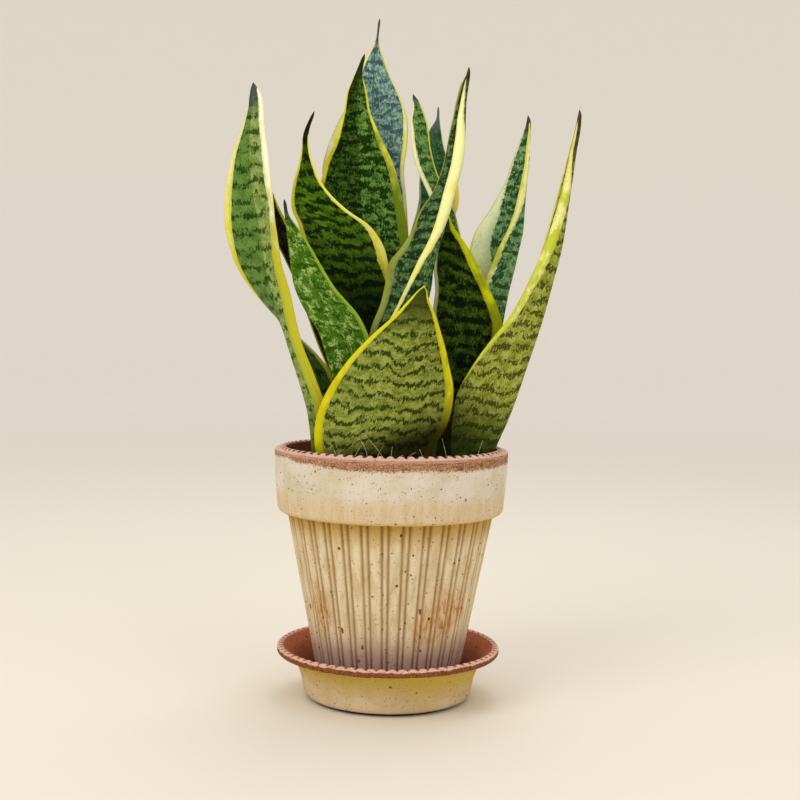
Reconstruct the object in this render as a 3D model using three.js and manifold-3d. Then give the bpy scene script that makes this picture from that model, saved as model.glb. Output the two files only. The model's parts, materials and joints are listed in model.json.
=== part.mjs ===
// Potted snake plant: a fluted clay pot on a lipped saucer, filled with soil, with thirteen stiff
// upright leaves. Millimetres, +Z up. The origin is the middle of the saucer's flat foot, on the
// surface that it stands on, and -Y is the side that the plant is usually seen from.

import * as THREE from 'three';
import { mergeVertices } from 'three/addons/utils/BufferGeometryUtils.js';
import Module from 'manifold-3d';

// ---------------------------------------------------------------- driving dimensions

const CLEARANCE = 0.3; // left between a piece and what it rests on or stands in

const SAUCER_FLOOR_Z = 6;
const SAUCER_LIP_Z = 31;
const SAUCER_LIP_RADIUS = 67;
const SAUCER_FOOT_RADIUS = 46;
const SAUCER_BEADS = 70;
const SAUCER_BEAD_RADIUS = 64.9;
const SAUCER_BEAD_HEIGHT = 1.2;

const POT_FOOT_Z = SAUCER_FLOOR_Z + CLEARANCE;
const POT_FOOT_RADIUS = 41.5;
const POT_FLOOR_THICKNESS = 6;
const POT_SHOULDER_Z = 112; // where the fluted body meets the rim band
const POT_SHOULDER_RADIUS = 61.9;
const POT_RIM_Z = 150;
const POT_RIM_RADIUS = 70; // a 14 cm pot, measured over its rim
const POT_FLOOR_RADIUS = 36.7;
const POT_FLUTES = 32;
const FLUTE_DEPTH = 0.9;
const POT_BEADS = 72;
const POT_BEAD_RADIUS = 65;
const POT_BEAD_HEIGHT = 1.8;
const DRAIN_HOLE_RADIUS = 6;

const SOIL_Z = 134;
const SOIL_UNEVENNESS = 1.0;

const BLADE_EDGE_THICKNESS = 1.1;
const BLADE_MIDDLE_THICKNESS = 2.6;
const BLADE_FULL_WIDTH = 8; // arms at least this long have the full thickness in the middle
const BLADE_LEAST_ARM = 0.6;
const FOLD_ROUNDNESS = 0.35;
const BLADE_ROWS = 16;
const BLADE_COLUMNS = [-1, -0.42, 0, 0.42, 1];
const ROW_CROWDING = 1.25; // brings the rows closer together towards the tip

// Each leaf is a folded blade. A row is one level section of it, from its foot in the soil to its tip:
// [height, x and y of the fold, length and direction of one half, length and direction of the other],
// with directions in degrees anticlockwise from +X. The face that the halves close on is the upper one.
const LEAVES = {
  leaf_front: [
    [120, -13, -44, 29, 28, 22, 152],
    [137, -13, -46, 35.5, 28, 29, 152],
    [153, -12, -48, 40.5, 27, 35, 154],
    [167, -6, -49, 42, 26, 42, 154],
    [186, -1, -50, 39.5, 25, 39.5, 155],
    [204, 3, -51, 31, 24, 30, 156],
    [218, 8, -52, 21, 22, 21, 158],
    [230, 12.5, -53, 11.5, 20, 11.5, 160],
    [239, 14.5, -53, 5, 20, 5, 160],
    [246, 17, -53, 0.7, 20, 0.7, 160],
  ],
  leaf_far_left: [
    [120, -43, -12, 9, -20, 16, 50],
    [150, -44.5, -14, 9.5, -20, 20, 45],
    [173, -47.5, -15, 10.5, -25, 22.5, 38],
    [190, -52.5, -15, 12, -42, 24, 40],
    [209, -59, -15, 13, -52, 24.5, 66],
    [223, -63.5, -15, 13, -53, 25, 95],
    [238, -68.5, -16, 14, -47, 26, 118],
    [256, -73.6, -17, 13.6, -46, 26.5, 138],
    [278, -77.5, -18, 13.5, -45, 25.7, 151],
    [297, -81.5, -18, 14.5, -40, 22.2, 148],
    [317, -84, -18, 13.5, -35, 16.4, 145],
    [340, -84, -18, 9, -30, 5.6, 145],
    [348, -83.8, -18, 8, -30, 2.6, 145],
    [355, -83.6, -18, 6, -30, 2, 145],
    [362.5, -83.5, -18, 0.7, -30, 0.7, 145],
  ],
  leaf_hidden_left: [
    [120, -22, -9, 7, 184, 7, -4],
    [173, -26, -9, 7.5, 184, 7.5, -4],
    [194, -29.5, -9, 8, 184, 8, -4],
    [212, -36.5, -9, 8.5, 184, 9, -4],
    [230, -44, -8, 7.7, 184, 7.7, -4],
    [245, -50.6, -8, 6.5, 184, 6.5, -4],
    [261, -58.6, -8, 6.2, 184, 6.2, -4],
    [274, -65, -8, 6.2, 184, 6.2, -4],
    [287, -70.3, -8, 4.2, 184, 4.2, -4],
    [299, -74, -8, 2, 184, 2, -4],
    [310, -76.6, -8, 0.7, 184, 0.7, -4],
  ],
  leaf_short: [
    [120, -20, -24, 9, 188, 9, -10],
    [174, -20, -24, 10, 188, 10, -10],
    [193, -23, -25, 12, 190, 12, -10],
    [207, -25.5, -25, 13.7, 190, 13.7, -10],
    [220, -29.5, -25, 14.4, 190, 14.4, -12],
    [230, -35.8, -25, 14.8, 190, 15, -12],
    [244, -45.4, -25, 12, 190, 12, -12],
    [259, -51.5, -24, 8.8, 190, 8.3, -12],
    [269, -55.7, -24, 5.9, 190, 6.5, -12],
    [279, -59.7, -24, 3.2, 190, 3.5, -12],
    [286, -62.7, -24, 1.2, 190, 1.2, -12],
    [295, -64.3, -24, 0.7, 190, 0.7, -12],
  ],
  leaf_left: [
    [120, -8, 1, 11, 184, 11, -4],
    [193, -13.7, 3, 14, 184, 14, -4],
    [221, -19, 4, 17, 184, 17, -4],
    [245, -23.7, 5, 21, 185, 19.3, -5],
    [261, -27, 5, 24, 186, 23, -5],
    [273, -31.5, 6, 24, 186, 23.5, -5],
    [284, -37.7, 6, 21, 186, 21, -5],
    [291, -45, 6, 17, 186, 17.5, -5],
    [300, -50.6, 6, 12, 186, 12.6, -5],
    [309, -53.2, 6, 8, 186, 8, -5],
    [317, -54, 6, 5, 186, 5.4, -5],
    [326, -54.4, 6, 2.7, 186, 2.7, -5],
    [337, -54.4, 5, 1.5, 186, 1.5, -5],
    [350, -49.7, 4, 0.7, 186, 0.7, -5],
  ],
  leaf_tall: [
    [120, 6, 10, 11, 183, 11, -3],
    [193, -4.2, 12, 15, 183, 15, -3],
    [227, -9, 13, 19, 183, 19, -3],
    [257, -14.5, 13, 24, 183, 24, -3],
    [281, -18.6, 14, 26, 183, 26, -3],
    [294, -20.6, 14, 27, 183, 25.5, -3],
    [310, -21.5, 14, 24, 184, 23, -3],
    [320, -22.3, 14, 20.7, 184, 20.7, -3],
    [336, -23.2, 13, 13.4, 184, 13.7, -3],
    [351, -24.4, 13, 8.2, 184, 8.2, -3],
    [365, -24.4, 12, 5.5, 184, 5.2, -3],
    [373, -23.9, 12, 2.4, 184, 2.4, -3],
    [386, -20.5, 12, 0.7, 184, 0.7, -3],
  ],
  leaf_back: [
    [120, 0, 28, 12, 183, 12, -3],
    [227, -8.8, 30, 18, 183, 18, -3],
    [270, -14.5, 30, 23, 183, 23, -3],
    [301, -17.6, 30, 26, 183, 24, -3],
    [319, -17.9, 30, 28, 183, 22.5, -3],
    [338, -17, 30, 24, 183, 23.5, -3],
    [352, -16, 30, 18.6, 183, 21.6, -3],
    [365, -15.4, 30, 12, 183, 16, -3],
    [378, -15.3, 30, 8.7, 184, 9.5, -3],
    [388, -14.8, 30, 5.5, 184, 5.2, -3],
    [396, -13.7, 30, 1.4, 184, 1.4, -3],
    [411, -12.2, 30, 0.7, 184, 0.7, -3],
  ],
  leaf_centre: [
    [120, 3, -20, 12, 160, 10, -130],
    [175, 6, -19, 20, 166, 15, -145],
    [200, 10, -18, 26, 168, 20, -150],
    [222, 14, -16, 28, 168, 21, -152],
    [236, 17, -14, 26, 166, 17, -150],
    [247, 19.2, -13, 26, 164, 15.4, -141],
    [261, 20.8, -12, 25.5, 162, 10.4, -137],
    [270, 23.2, -12, 21.5, 157, 7, -142],
    [280, 26.2, -12, 18.5, 153, 5.2, -146],
    [290, 29.5, -12, 18, 152, 5.6, -148],
    [304, 33.1, -12, 12.6, 150, 5.9, -148],
    [318, 36.6, -12, 10.9, 150, 5.8, -148],
    [334, 38.1, -12, 9.3, 150, 4.8, -148],
    [347, 38.3, -11, 6.7, 150, 3.5, -148],
    [356, 38.9, -10, 5.4, 150, 2.4, -148],
    [366, 40.3, -10, 3.7, 150, 1.6, -148],
    [370, 40.8, -10, 1.5, 150, 1.2, -148],
    [375, 41.2, -10, 0.7, 150, 0.7, -148],
  ],
  leaf_far_right: [
    [120, 50, -9, 14, 120, 18, 197],
    [150, 58.5, -10, 22, 120, 25, 197],
    [171, 67, -10, 24, 122, 33, 197],
    [184, 71.5, -10, 25, 123, 35.5, 197],
    [196, 75.2, -10, 24.5, 124, 33.2, 197],
    [216, 81.7, -10, 22.7, 125, 26.2, 198],
    [229, 85.8, -9, 20, 126, 19.8, 199],
    [249, 91, -8, 16.3, 128, 14.2, 203],
    [268, 95.6, -8, 13.5, 130, 10.8, 206],
    [289, 98.8, -7, 9.7, 132, 7.1, 215],
    [307, 101.4, -7, 6.9, 134, 5.1, 220],
    [330, 104.5, -7, 3.5, 136, 3.5, 225],
    [340, 106.2, -7, 2.6, 136, 2.6, 225],
    [347, 106.8, -7, 1.6, 136, 1.6, 225],
    [352, 106.8, -7, 0.7, 136, 0.7, 225],
  ],
  leaf_right_inner: [
    [120, 31, 2, 7, 176, 7, -4],
    [150, 35, 2, 10, 176, 10, -4],
    [179, 43, 2, 14, 176, 14, -4],
    [209, 46, 2, 19, 178, 18, -4],
    [224, 45.5, 2, 21, 182, 20, -4],
    [233, 44.4, 2, 21, 184, 18.6, -4],
    [245, 42.4, 2, 18, 184, 15.4, -4],
    [258, 38, 2, 14.6, 184, 12.8, -4],
    [271, 34.7, 2, 9.8, 184, 9, -4],
    [283, 31.8, 2, 3, 184, 3, -4],
    [292, 30.2, 2, 0.7, 184, 0.7, -4],
  ],
  leaf_right: [
    [120, 46, 20, 12, 150, 9, -130],
    [180, 56, 20, 18, 156, 14, -140],
    [225, 64, 18, 20, 164, 18, -150],
    [246, 67.5, 18, 22, 166, 18, -150],
    [262, 71, 18, 25.8, 163, 16, -142],
    [270, 72.5, 18, 28.4, 160, 15, -138],
    [281, 74.3, 18, 27.8, 158, 12.4, -128],
    [297, 75.3, 18, 19.2, 152, 8.4, -116],
    [312, 77, 18, 12.6, 150, 5.2, -110],
    [325, 78.5, 18, 9.4, 150, 3.8, -107],
    [338, 79.1, 18, 5.2, 150, 2.2, -107],
    [344, 79.5, 18, 3.2, 150, 1.5, -108],
    [348, 79.5, 18, 1.7, 150, 1.1, -110],
    [352, 78.9, 18, 0.7, 150, 0.7, -110],
  ],
  leaf_right_back: [
    [120, 37, 33, 8, 186, 8, -6],
    [239, 39.5, 32, 8, 186, 8, -6],
    [276, 34, 30, 7, 186, 7, -6],
    [304, 26, 28, 6, 188, 6, -8],
    [312, 21.7, 27, 5.6, 188, 5.6, -8],
    [322, 17.4, 26, 5.8, 188, 5.8, -8],
    [333, 14.7, 26, 5.8, 188, 5.8, -8],
    [343, 13.6, 26, 5.7, 188, 5.5, -8],
    [350, 12.5, 26, 4.9, 188, 4.9, -8],
    [358, 11.8, 26, 2.4, 188, 2.4, -8],
    [365, 9.2, 26, 0.7, 188, 0.7, -8],
  ],
  leaf_centre_back: [
    [120, 4, 43, 8, 184, 8, -4],
    [200, 7, 43, 9, 184, 9, -4],
    [245, 9.5, 43, 9, 184, 9, -4],
    [262, 12.7, 42.5, 9.8, 184, 9.8, -4],
    [282, 20.8, 42, 11.5, 184, 11.5, -4],
    [302, 26.8, 41, 12.8, 184, 12.5, -4],
    [315, 26, 40, 11.8, 184, 11.6, -4],
    [324, 24.2, 40, 9, 184, 9.2, -4],
    [337, 23.3, 40, 5.5, 184, 5.5, -4],
    [345, 23.5, 40, 3.8, 184, 3.8, -4],
    [352, 24.9, 40, 1.1, 184, 1.1, -4],
    [360, 25.1, 40, 0.7, 184, 0.7, -4],
  ],
};

const LEAF_GREENS = {
  leaf_front: 0x7f8a35,
  leaf_far_left: 0x5f8a45,
  leaf_hidden_left: 0x4a4a22,
  leaf_short: 0x4b8a2c,
  leaf_left: 0x3c5216,
  leaf_tall: 0x2f5a22,
  leaf_back: 0x5f7f84,
  leaf_centre: 0x31603a,
  leaf_far_right: 0x7a7f42,
  leaf_right_inner: 0x2c481a,
  leaf_right: 0x3f7358,
  leaf_right_back: 0x3f7a36,
  leaf_centre_back: 0x24594a,
};

// ---------------------------------------------------------------- materials

function clay(color) {
  return new THREE.MeshStandardMaterial({ color, roughness: 0.9, metalness: 0 });
}

function foliage(color) {
  return new THREE.MeshStandardMaterial({ color, roughness: 0.45, metalness: 0 });
}

// ---------------------------------------------------------------- turned and fluted pieces

// A ring holds one corner for each of its angles, at a radius and a height that may vary round it.
function ring(angles, radius, height) {
  const radiusAt = typeof radius === 'function' ? radius : () => radius;
  const heightAt = typeof height === 'function' ? height : () => height;
  const corners = angles.map((angle, index) => [
    radiusAt(angle, index) * Math.cos(angle),
    radiusAt(angle, index) * Math.sin(angle),
    heightAt(angle, index),
  ]);
  return { angles, corners };
}

function evenAngles(count) {
  return Array.from({ length: count }, (_, index) => (2 * Math.PI * index) / count);
}

const onAxis = (height) => ring([0], 0, height);

// Triangles between two rings, which may differ in their number of corners: the side whose next corner
// comes first by angle moves on. Rings are listed so that the outside lies to the right of the path.
function joinRings(from, to, triangles) {
  const angleOf = (part, step) => {
    const count = part.angles.length;
    return part.angles[step % count] + 2 * Math.PI * Math.floor(step / count);
  };
  const indexOf = (part, step) => part.first + (step % part.angles.length);
  const fromSteps = from.angles.length > 1 ? from.angles.length : 0;
  const toSteps = to.angles.length > 1 ? to.angles.length : 0;
  let i = 0;
  let j = 0;
  while (i < fromSteps || j < toSteps) {
    const nextFrom = i < fromSteps ? angleOf(from, i + 1) : Infinity;
    const nextTo = j < toSteps ? angleOf(to, j + 1) : Infinity;
    if (nextFrom <= nextTo) {
      triangles.push(indexOf(from, i), indexOf(from, i + 1), indexOf(to, j));
      i += 1;
    } else {
      triangles.push(indexOf(from, i), indexOf(to, j + 1), indexOf(to, j));
      j += 1;
    }
  }
}

// A closed body from rings along its profile. A profile that doesn't end on the axis closes on itself.
function turned(rings) {
  const corners = [];
  for (const part of rings) {
    part.first = corners.length;
    corners.push(...part.corners);
  }
  const triangles = [];
  for (let index = 0; index + 1 < rings.length; index += 1) {
    joinRings(rings[index], rings[index + 1], triangles);
  }
  const last = rings[rings.length - 1];
  if (last.angles.length > 1) joinRings(last, rings[0], triangles);
  return bodyGeometry(corners, triangles);
}

function bodyGeometry(corners, triangles) {
  const geometry = new THREE.BufferGeometry();
  geometry.setAttribute('position', new THREE.Float32BufferAttribute(corners.flat(), 3));
  geometry.setIndex(triangles);
  geometry.computeVertexNormals();
  return geometry;
}

// Beads stand round a ring: three corners to each, one of them in the notch between two beads.
const BEAD_CORNERS = 3;
const beadAngles = (beads) => evenAngles(beads * BEAD_CORNERS);
const beadHeight = (base, height) => (angle, index) => base + (index % BEAD_CORNERS === 0 ? 0 : height);

// Flutes: a wide flat rib, a groove, a narrow rib and a groove, six corners to each repeat.
const FLUTE_CORNERS = [0.04, 0.6, 0.66, 0.72, 0.92, 0.98];
const FLUTE_GROOVES = [2, 5];

function fluteAngles() {
  const pitch = (2 * Math.PI) / POT_FLUTES;
  return Array.from({ length: POT_FLUTES }, (_, flute) =>
    FLUTE_CORNERS.map((share) => (flute + share) * pitch)).flat();
}

const flutedRadius = (radius) => (angle, index) =>
  radius - (FLUTE_GROOVES.includes(index % FLUTE_CORNERS.length) ? FLUTE_DEPTH : 0);

// ---------------------------------------------------------------- saucer

function makeSaucer() {
  const coarse = evenAngles(48);
  const wall = evenAngles(64);
  const beads = beadAngles(SAUCER_BEADS);
  const geometry = turned([
    onAxis(0),
    ring(coarse, SAUCER_FOOT_RADIUS - 0.5, 0),
    ring(coarse, SAUCER_FOOT_RADIUS, 1.5),
    ring(wall, 49, 1.6),
    ring(wall, 50.6, 4),
    ring(wall, 52.4, 14),
    ring(wall, 57.2, 25),
    ring(wall, SAUCER_LIP_RADIUS - 1, 26.8),
    ring(wall, SAUCER_LIP_RADIUS, 28),
    ring(wall, SAUCER_LIP_RADIUS, SAUCER_LIP_Z - 0.4),
    ring(beads, SAUCER_LIP_RADIUS - 0.7, SAUCER_LIP_Z),
    ring(beads, SAUCER_BEAD_RADIUS, beadHeight(SAUCER_LIP_Z, SAUCER_BEAD_HEIGHT)),
    ring(beads, SAUCER_BEAD_RADIUS - 1.8, SAUCER_LIP_Z - 0.2),
    ring(coarse, 57, 26),
    ring(coarse, 50.6, 15),
    ring(coarse, 47, 7.5),
    ring(coarse, 45, SAUCER_FLOOR_Z),
    onAxis(SAUCER_FLOOR_Z),
  ]);
  return new THREE.Mesh(geometry, clay(0xcfc07a));
}

// ---------------------------------------------------------------- pot

const POT_INSIDE = evenAngles(48);
const POT_FLOOR_Z = POT_FOOT_Z + POT_FLOOR_THICKNESS;

// The inside wall as [radius, height], from the floor to just under the rim.
const POT_BORE = [
  [POT_FLOOR_RADIUS, POT_FLOOR_Z],
  [55.8, 108],
  [61.2, SOIL_Z],
  [62.8, 147],
];

function makePot() {
  const flutes = fluteAngles();
  const band = evenAngles(96);
  const beads = beadAngles(POT_BEADS);
  const hole = evenAngles(24);
  const geometry = turned([
    ring(hole, DRAIN_HOLE_RADIUS, POT_FOOT_Z),
    ring(POT_INSIDE, POT_FOOT_RADIUS - 2, POT_FOOT_Z),
    ring(flutes, flutedRadius(POT_FOOT_RADIUS), POT_FOOT_Z + 0.6),
    ring(flutes, flutedRadius(POT_SHOULDER_RADIUS), POT_SHOULDER_Z),
    ring(band, POT_SHOULDER_RADIUS + 0.8, POT_SHOULDER_Z + 0.2),
    ring(band, 66.2, POT_SHOULDER_Z + 0.5),
    ring(band, 67.7, POT_SHOULDER_Z + 2.2),
    ring(band, 69.5, 134),
    ring(band, POT_RIM_RADIUS, POT_RIM_Z - 1),
    ring(band, POT_RIM_RADIUS - 0.9, POT_RIM_Z),
    ring(beads, POT_BEAD_RADIUS + 2, POT_RIM_Z + 0.2),
    ring(beads, POT_BEAD_RADIUS, beadHeight(POT_RIM_Z + 0.2, POT_BEAD_HEIGHT)),
    ring(beads, POT_BEAD_RADIUS - 2, POT_RIM_Z),
    ...POT_BORE.toReversed().map(([radius, height]) => ring(POT_INSIDE, radius, height)),
    ring(hole, DRAIN_HOLE_RADIUS, POT_FLOOR_Z),
  ]);
  return new THREE.Mesh(geometry, clay(0xe6d9b4));
}

// ---------------------------------------------------------------- leaves

// Cubic curve through the rows of a table, with heights as its parameter and slopes from both neighbours.
function rowAt(rows, height) {
  const last = rows.length - 1;
  const slope = (index, column) => {
    const value = (at) => rows[at][column];
    const z = (at) => rows[at][0];
    const rise = (low, high) => (value(high) - value(low)) / (z(high) - z(low));
    if (index === 0) return rise(0, 1);
    if (index === last) return rise(last - 1, last);
    const below = z(index) - z(index - 1);
    const above = z(index + 1) - z(index);
    return (rise(index - 1, index) * above + rise(index, index + 1) * below) / (below + above);
  };
  let low = 0;
  while (low < last - 1 && rows[low + 1][0] <= height) low += 1;
  const span = rows[low + 1][0] - rows[low][0];
  const t = (height - rows[low][0]) / span;
  return rows[low].map((_, column) =>
    (2 * t ** 3 - 3 * t ** 2 + 1) * rows[low][column] +
    (t ** 3 - 2 * t ** 2 + t) * span * slope(low, column) +
    (3 * t ** 2 - 2 * t ** 3) * rows[low + 1][column] +
    (t ** 3 - t ** 2) * span * slope(low + 1, column));
}

// One level section. Across it, s runs from -1 at one edge through 0 at the fold to 1 at the other edge:
// the place is the fold, plus s times half the difference of the two arms, plus a rounded |s| times
// half their sum. The lower face lies behind it by the thickness there.
function leafSection(row, height, grow) {
  const [, x, y, lengthA, directionA, lengthB, directionB] = row;
  const arm = (length, direction) => {
    const reach = Math.max(length, BLADE_LEAST_ARM) + grow;
    const angle = THREE.MathUtils.degToRad(direction);
    return new THREE.Vector2(reach * Math.cos(angle), reach * Math.sin(angle));
  };
  const a = arm(lengthA, directionA);
  const b = arm(lengthB, directionB);
  const half = b.clone().sub(a).multiplyScalar(0.5);
  const mean = b.clone().add(a).multiplyScalar(0.5);
  const full = Math.hypot(1, FOLD_ROUNDNESS) - FOLD_ROUNDNESS;
  const breadth = Math.min(1, Math.min(a.length(), b.length()) / BLADE_FULL_WIDTH);
  const middle = BLADE_EDGE_THICKNESS + (BLADE_MIDDLE_THICKNESS - BLADE_EDGE_THICKNESS) * breadth;
  const upper = [];
  const lower = [];
  for (const s of BLADE_COLUMNS) {
    const rounded = (Math.hypot(s, FOLD_ROUNDNESS) - FOLD_ROUNDNESS) / full;
    const turn = s / Math.hypot(s, FOLD_ROUNDNESS) / full;
    const place = new THREE.Vector2(x, y).addScaledVector(half, s).addScaledVector(mean, rounded);
    const along = half.clone().addScaledVector(mean, turn).normalize();
    const behind = new THREE.Vector2(-along.y, along.x);
    const thickness = BLADE_EDGE_THICKNESS + (middle - BLADE_EDGE_THICKNESS) * (1 - s * s);
    const front = place.clone().addScaledVector(behind, -grow);
    const back = place.clone().addScaledVector(behind, thickness + grow);
    upper.push([front.x, front.y, height]);
    lower.push([back.x, back.y, height]);
  }
  return [...upper, ...lower.reverse()];
}

// Heights of a blade's sections, closer together towards its tip.
function levels(rows) {
  const lowest = rows[0][0];
  const highest = rows[rows.length - 1][0];
  return Array.from({ length: BLADE_ROWS + 1 }, (_, step) =>
    lowest + (highest - lowest) * (1 - (1 - step / BLADE_ROWS) ** ROW_CROWDING));
}

// Sections are joined into one blade, closed at its foot and its tip. Both faces share one pattern.
function leafGeometry(rows, heights, grow) {
  const sections = heights.map((height, level) =>
    leafSection(rowAt(rows, height), height - (level === 0 ? grow : 0), grow));
  const steps = heights.length - 1;
  const around = sections[0].length;
  const columns = BLADE_COLUMNS.length;
  const triangles = [];
  for (let level = 0; level < steps; level += 1) {
    for (let k = 0; k < around; k += 1) {
      const next = (k + 1) % around;
      const [p, q] = [level * around + k, level * around + next];
      const [r, s] = [p + around, q + around];
      if (k < columns) triangles.push(p, q, s, p, s, r);
      else triangles.push(p, q, r, q, s, r);
    }
  }
  for (let k = 0; k + 1 < columns; k += 1) {
    const [p, q, r, s] = [k, k + 1, around - 1 - k, around - 2 - k];
    triangles.push(p, s, q, p, r, s);
    const top = steps * around;
    triangles.push(top + p, top + q, top + s, top + p, top + s, top + r);
  }
  return bodyGeometry(sections.flat(), triangles);
}

function makeLeaf(name) {
  const rows = LEAVES[name];
  const geometry = leafGeometry(rows, levels(rows), 0);
  return new THREE.Mesh(geometry, foliage(LEAF_GREENS[name]));
}

// ---------------------------------------------------------------- soil

const wasm = await Module();
wasm.setup();

function toSolid(geometry) {
  const bare = geometry.clone();
  bare.deleteAttribute('normal');
  const merged = mergeVertices(bare);
  return new wasm.Manifold(new wasm.Mesh({
    numProp: 3,
    vertProperties: new Float32Array(merged.attributes.position.array),
    triVerts: new Uint32Array(merged.index.array),
  }));
}

function toGeometry(solid) {
  const mesh = solid.getMesh();
  const geometry = new THREE.BufferGeometry();
  geometry.setAttribute('position', new THREE.BufferAttribute(mesh.vertProperties, 3));
  geometry.setIndex(new THREE.BufferAttribute(mesh.triVerts, 1));
  geometry.computeVertexNormals();
  return geometry;
}

// The soil fills the pot to a slightly uneven surface, and each leaf stands in a plain socket in it.
const SOCKET_LEVELS = 4;
const SOCKET_CLEARANCE = 0.45;

function makeSoil() {
  const uneven = (angle, radius) =>
    SOIL_UNEVENNESS * Math.sin(3 * angle + radius / 9) * Math.cos(2 * angle - radius / 7);
  const surface = (radius) =>
    ring(POT_INSIDE, radius, (angle) => SOIL_Z + uneven(angle, radius));
  const wall = POT_BORE.slice(0, 3).map(([radius, height]) => [radius - CLEARANCE, height]);
  wall[0][1] += CLEARANCE;
  const fill = turned([
    onAxis(wall[0][1]),
    ...wall.map(([radius, height]) => ring(POT_INSIDE, radius, height)),
    surface(50),
    surface(32),
    surface(14),
    onAxis(SOIL_Z),
  ]);
  let solid = toSolid(fill);
  for (const rows of Object.values(LEAVES)) {
    const socket = leafGeometry(rows, levels(rows).slice(0, SOCKET_LEVELS), SOCKET_CLEARANCE);
    solid = solid.subtract(toSolid(socket));
  }
  return new THREE.Mesh(toGeometry(solid), clay(0x3a2618));
}

// ---------------------------------------------------------------- the plant in its pot

const group = new THREE.Group();

function place(mesh, name) {
  mesh.name = name;
  group.add(mesh);
}

place(makeSaucer(), 'saucer');
place(makePot(), 'pot');
place(makeSoil(), 'soil');
for (const name of Object.keys(LEAVES)) place(makeLeaf(name), name);

export default group;
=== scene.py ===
# %% [markdown]
# # A snake plant in a fluted clay pot
# The plant is rebuilt piece by piece: a saucer, a pot, its soil and thirteen leaves. The solids come in as a
# fixed frame, which says where each piece is. Every visible surface is then worked out again with more detail
# as whole arrays of points, and gets a finish that is computed from where a point lies on its piece.

import json
import math

import bpy
import numpy as np
from mathutils import Matrix, Vector

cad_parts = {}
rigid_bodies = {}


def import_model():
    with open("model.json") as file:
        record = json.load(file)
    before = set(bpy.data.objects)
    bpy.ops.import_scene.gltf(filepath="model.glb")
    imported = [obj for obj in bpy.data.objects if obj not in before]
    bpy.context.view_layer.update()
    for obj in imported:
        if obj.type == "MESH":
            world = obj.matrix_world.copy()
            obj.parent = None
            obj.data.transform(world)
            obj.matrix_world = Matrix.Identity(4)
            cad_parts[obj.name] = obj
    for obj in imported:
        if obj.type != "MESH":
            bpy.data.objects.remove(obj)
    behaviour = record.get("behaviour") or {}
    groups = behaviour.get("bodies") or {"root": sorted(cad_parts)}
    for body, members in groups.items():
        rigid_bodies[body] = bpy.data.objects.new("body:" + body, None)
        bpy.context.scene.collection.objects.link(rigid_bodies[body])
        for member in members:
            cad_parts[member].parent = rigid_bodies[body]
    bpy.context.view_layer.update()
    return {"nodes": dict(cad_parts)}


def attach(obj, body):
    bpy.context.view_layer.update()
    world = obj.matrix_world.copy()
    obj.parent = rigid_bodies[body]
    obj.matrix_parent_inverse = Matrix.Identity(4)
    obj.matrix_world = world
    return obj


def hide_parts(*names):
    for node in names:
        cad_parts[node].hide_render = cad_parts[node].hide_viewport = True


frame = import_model()
MM = 0.001
print("solids:", sorted(frame["nodes"]))

# %% [markdown]
# ## Camera
# The picture is taken from 0.8 m away, a little above the middle of the plant, looking slightly down, and the
# camera is tilted a degree to one side. Its three directions are written straight into its matrix, because
# angles in three steps are easy to get wrong. The focal length is given in picture widths.

# %% Camera
CAMERA_PLACE = Vector((4.6, -800, 223)) * MM
CAMERA_PITCH = math.radians(3.15)
CAMERA_ROLL = math.radians(1.05)
FOCAL_WIDTHS = 1.67
SENSOR_MM = 36

forward = Vector((0, math.cos(CAMERA_PITCH), -math.sin(CAMERA_PITCH)))
level_up = Vector((0, math.sin(CAMERA_PITCH), math.cos(CAMERA_PITCH)))
level_right = Vector((1, 0, 0))
picture_right = level_right * math.cos(CAMERA_ROLL) + level_up * math.sin(CAMERA_ROLL)
picture_up = level_up * math.cos(CAMERA_ROLL) - level_right * math.sin(CAMERA_ROLL)

camera = bpy.data.objects.new("camera", bpy.data.cameras.new("camera"))
camera.data.sensor_width = SENSOR_MM
camera.data.lens = SENSOR_MM * FOCAL_WIDTHS
axes = Matrix((picture_right, picture_up, -forward)).transposed()
camera.matrix_world = Matrix.Translation(CAMERA_PLACE) @ axes.to_4x4()
bpy.context.scene.collection.objects.link(camera)
bpy.context.scene.camera = camera
print("lens:", round(camera.data.lens, 2), "mm on a sensor of", SENSOR_MM, "mm")

# %% [markdown]
# ## Studio light
# One large soft light from the upper left, a weaker one from the right and one from above and behind, which
# draws the pale leaf edges. A bright even surrounding fills the shadows between the leaves. Large lights give
# the soft shadow edges of a studio; small ones would make the leaves look like cut metal.

# %% Lights and surroundings
LAMP_WHITE = (1.0, 0.985, 0.96)
SURROUNDINGS = {"Color": (1.0, 0.975, 0.94, 1), "Strength": 0.74}


def soft_light(name, place, aim_height, size, power):
    """A square area light at a place in metres, turned so that it looks at a height above the foot."""
    light = bpy.data.lights.new(name, "AREA")
    light.size = size
    light.energy = power
    light.color = LAMP_WHITE
    lamp = bpy.data.objects.new(name, light)
    direction = Vector((0, 0, aim_height)) - Vector(place)
    lamp.rotation_euler = direction.to_track_quat("-Z", "Y").to_euler()
    lamp.location = place
    bpy.context.scene.collection.objects.link(lamp)


soft_light("key", (-0.85, -0.95, 1.05), aim_height=0.2, size=0.8, power=7.4)
soft_light("fill", (0.9, -0.95, 0.75), aim_height=0.2, size=1.1, power=3.0)
soft_light("top", (0.15, 0.55, 1.3), aim_height=0.25, size=0.7, power=3.5)

world = bpy.data.worlds.new("surroundings")
bpy.context.scene.world = world
world.use_nodes = True
for label, value in SURROUNDINGS.items():
    world.node_tree.nodes["Background"].inputs[label].default_value = value
bpy.context.scene.view_settings.view_transform = "Standard"
print("lights:", [item.name for item in bpy.data.lights])

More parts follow.
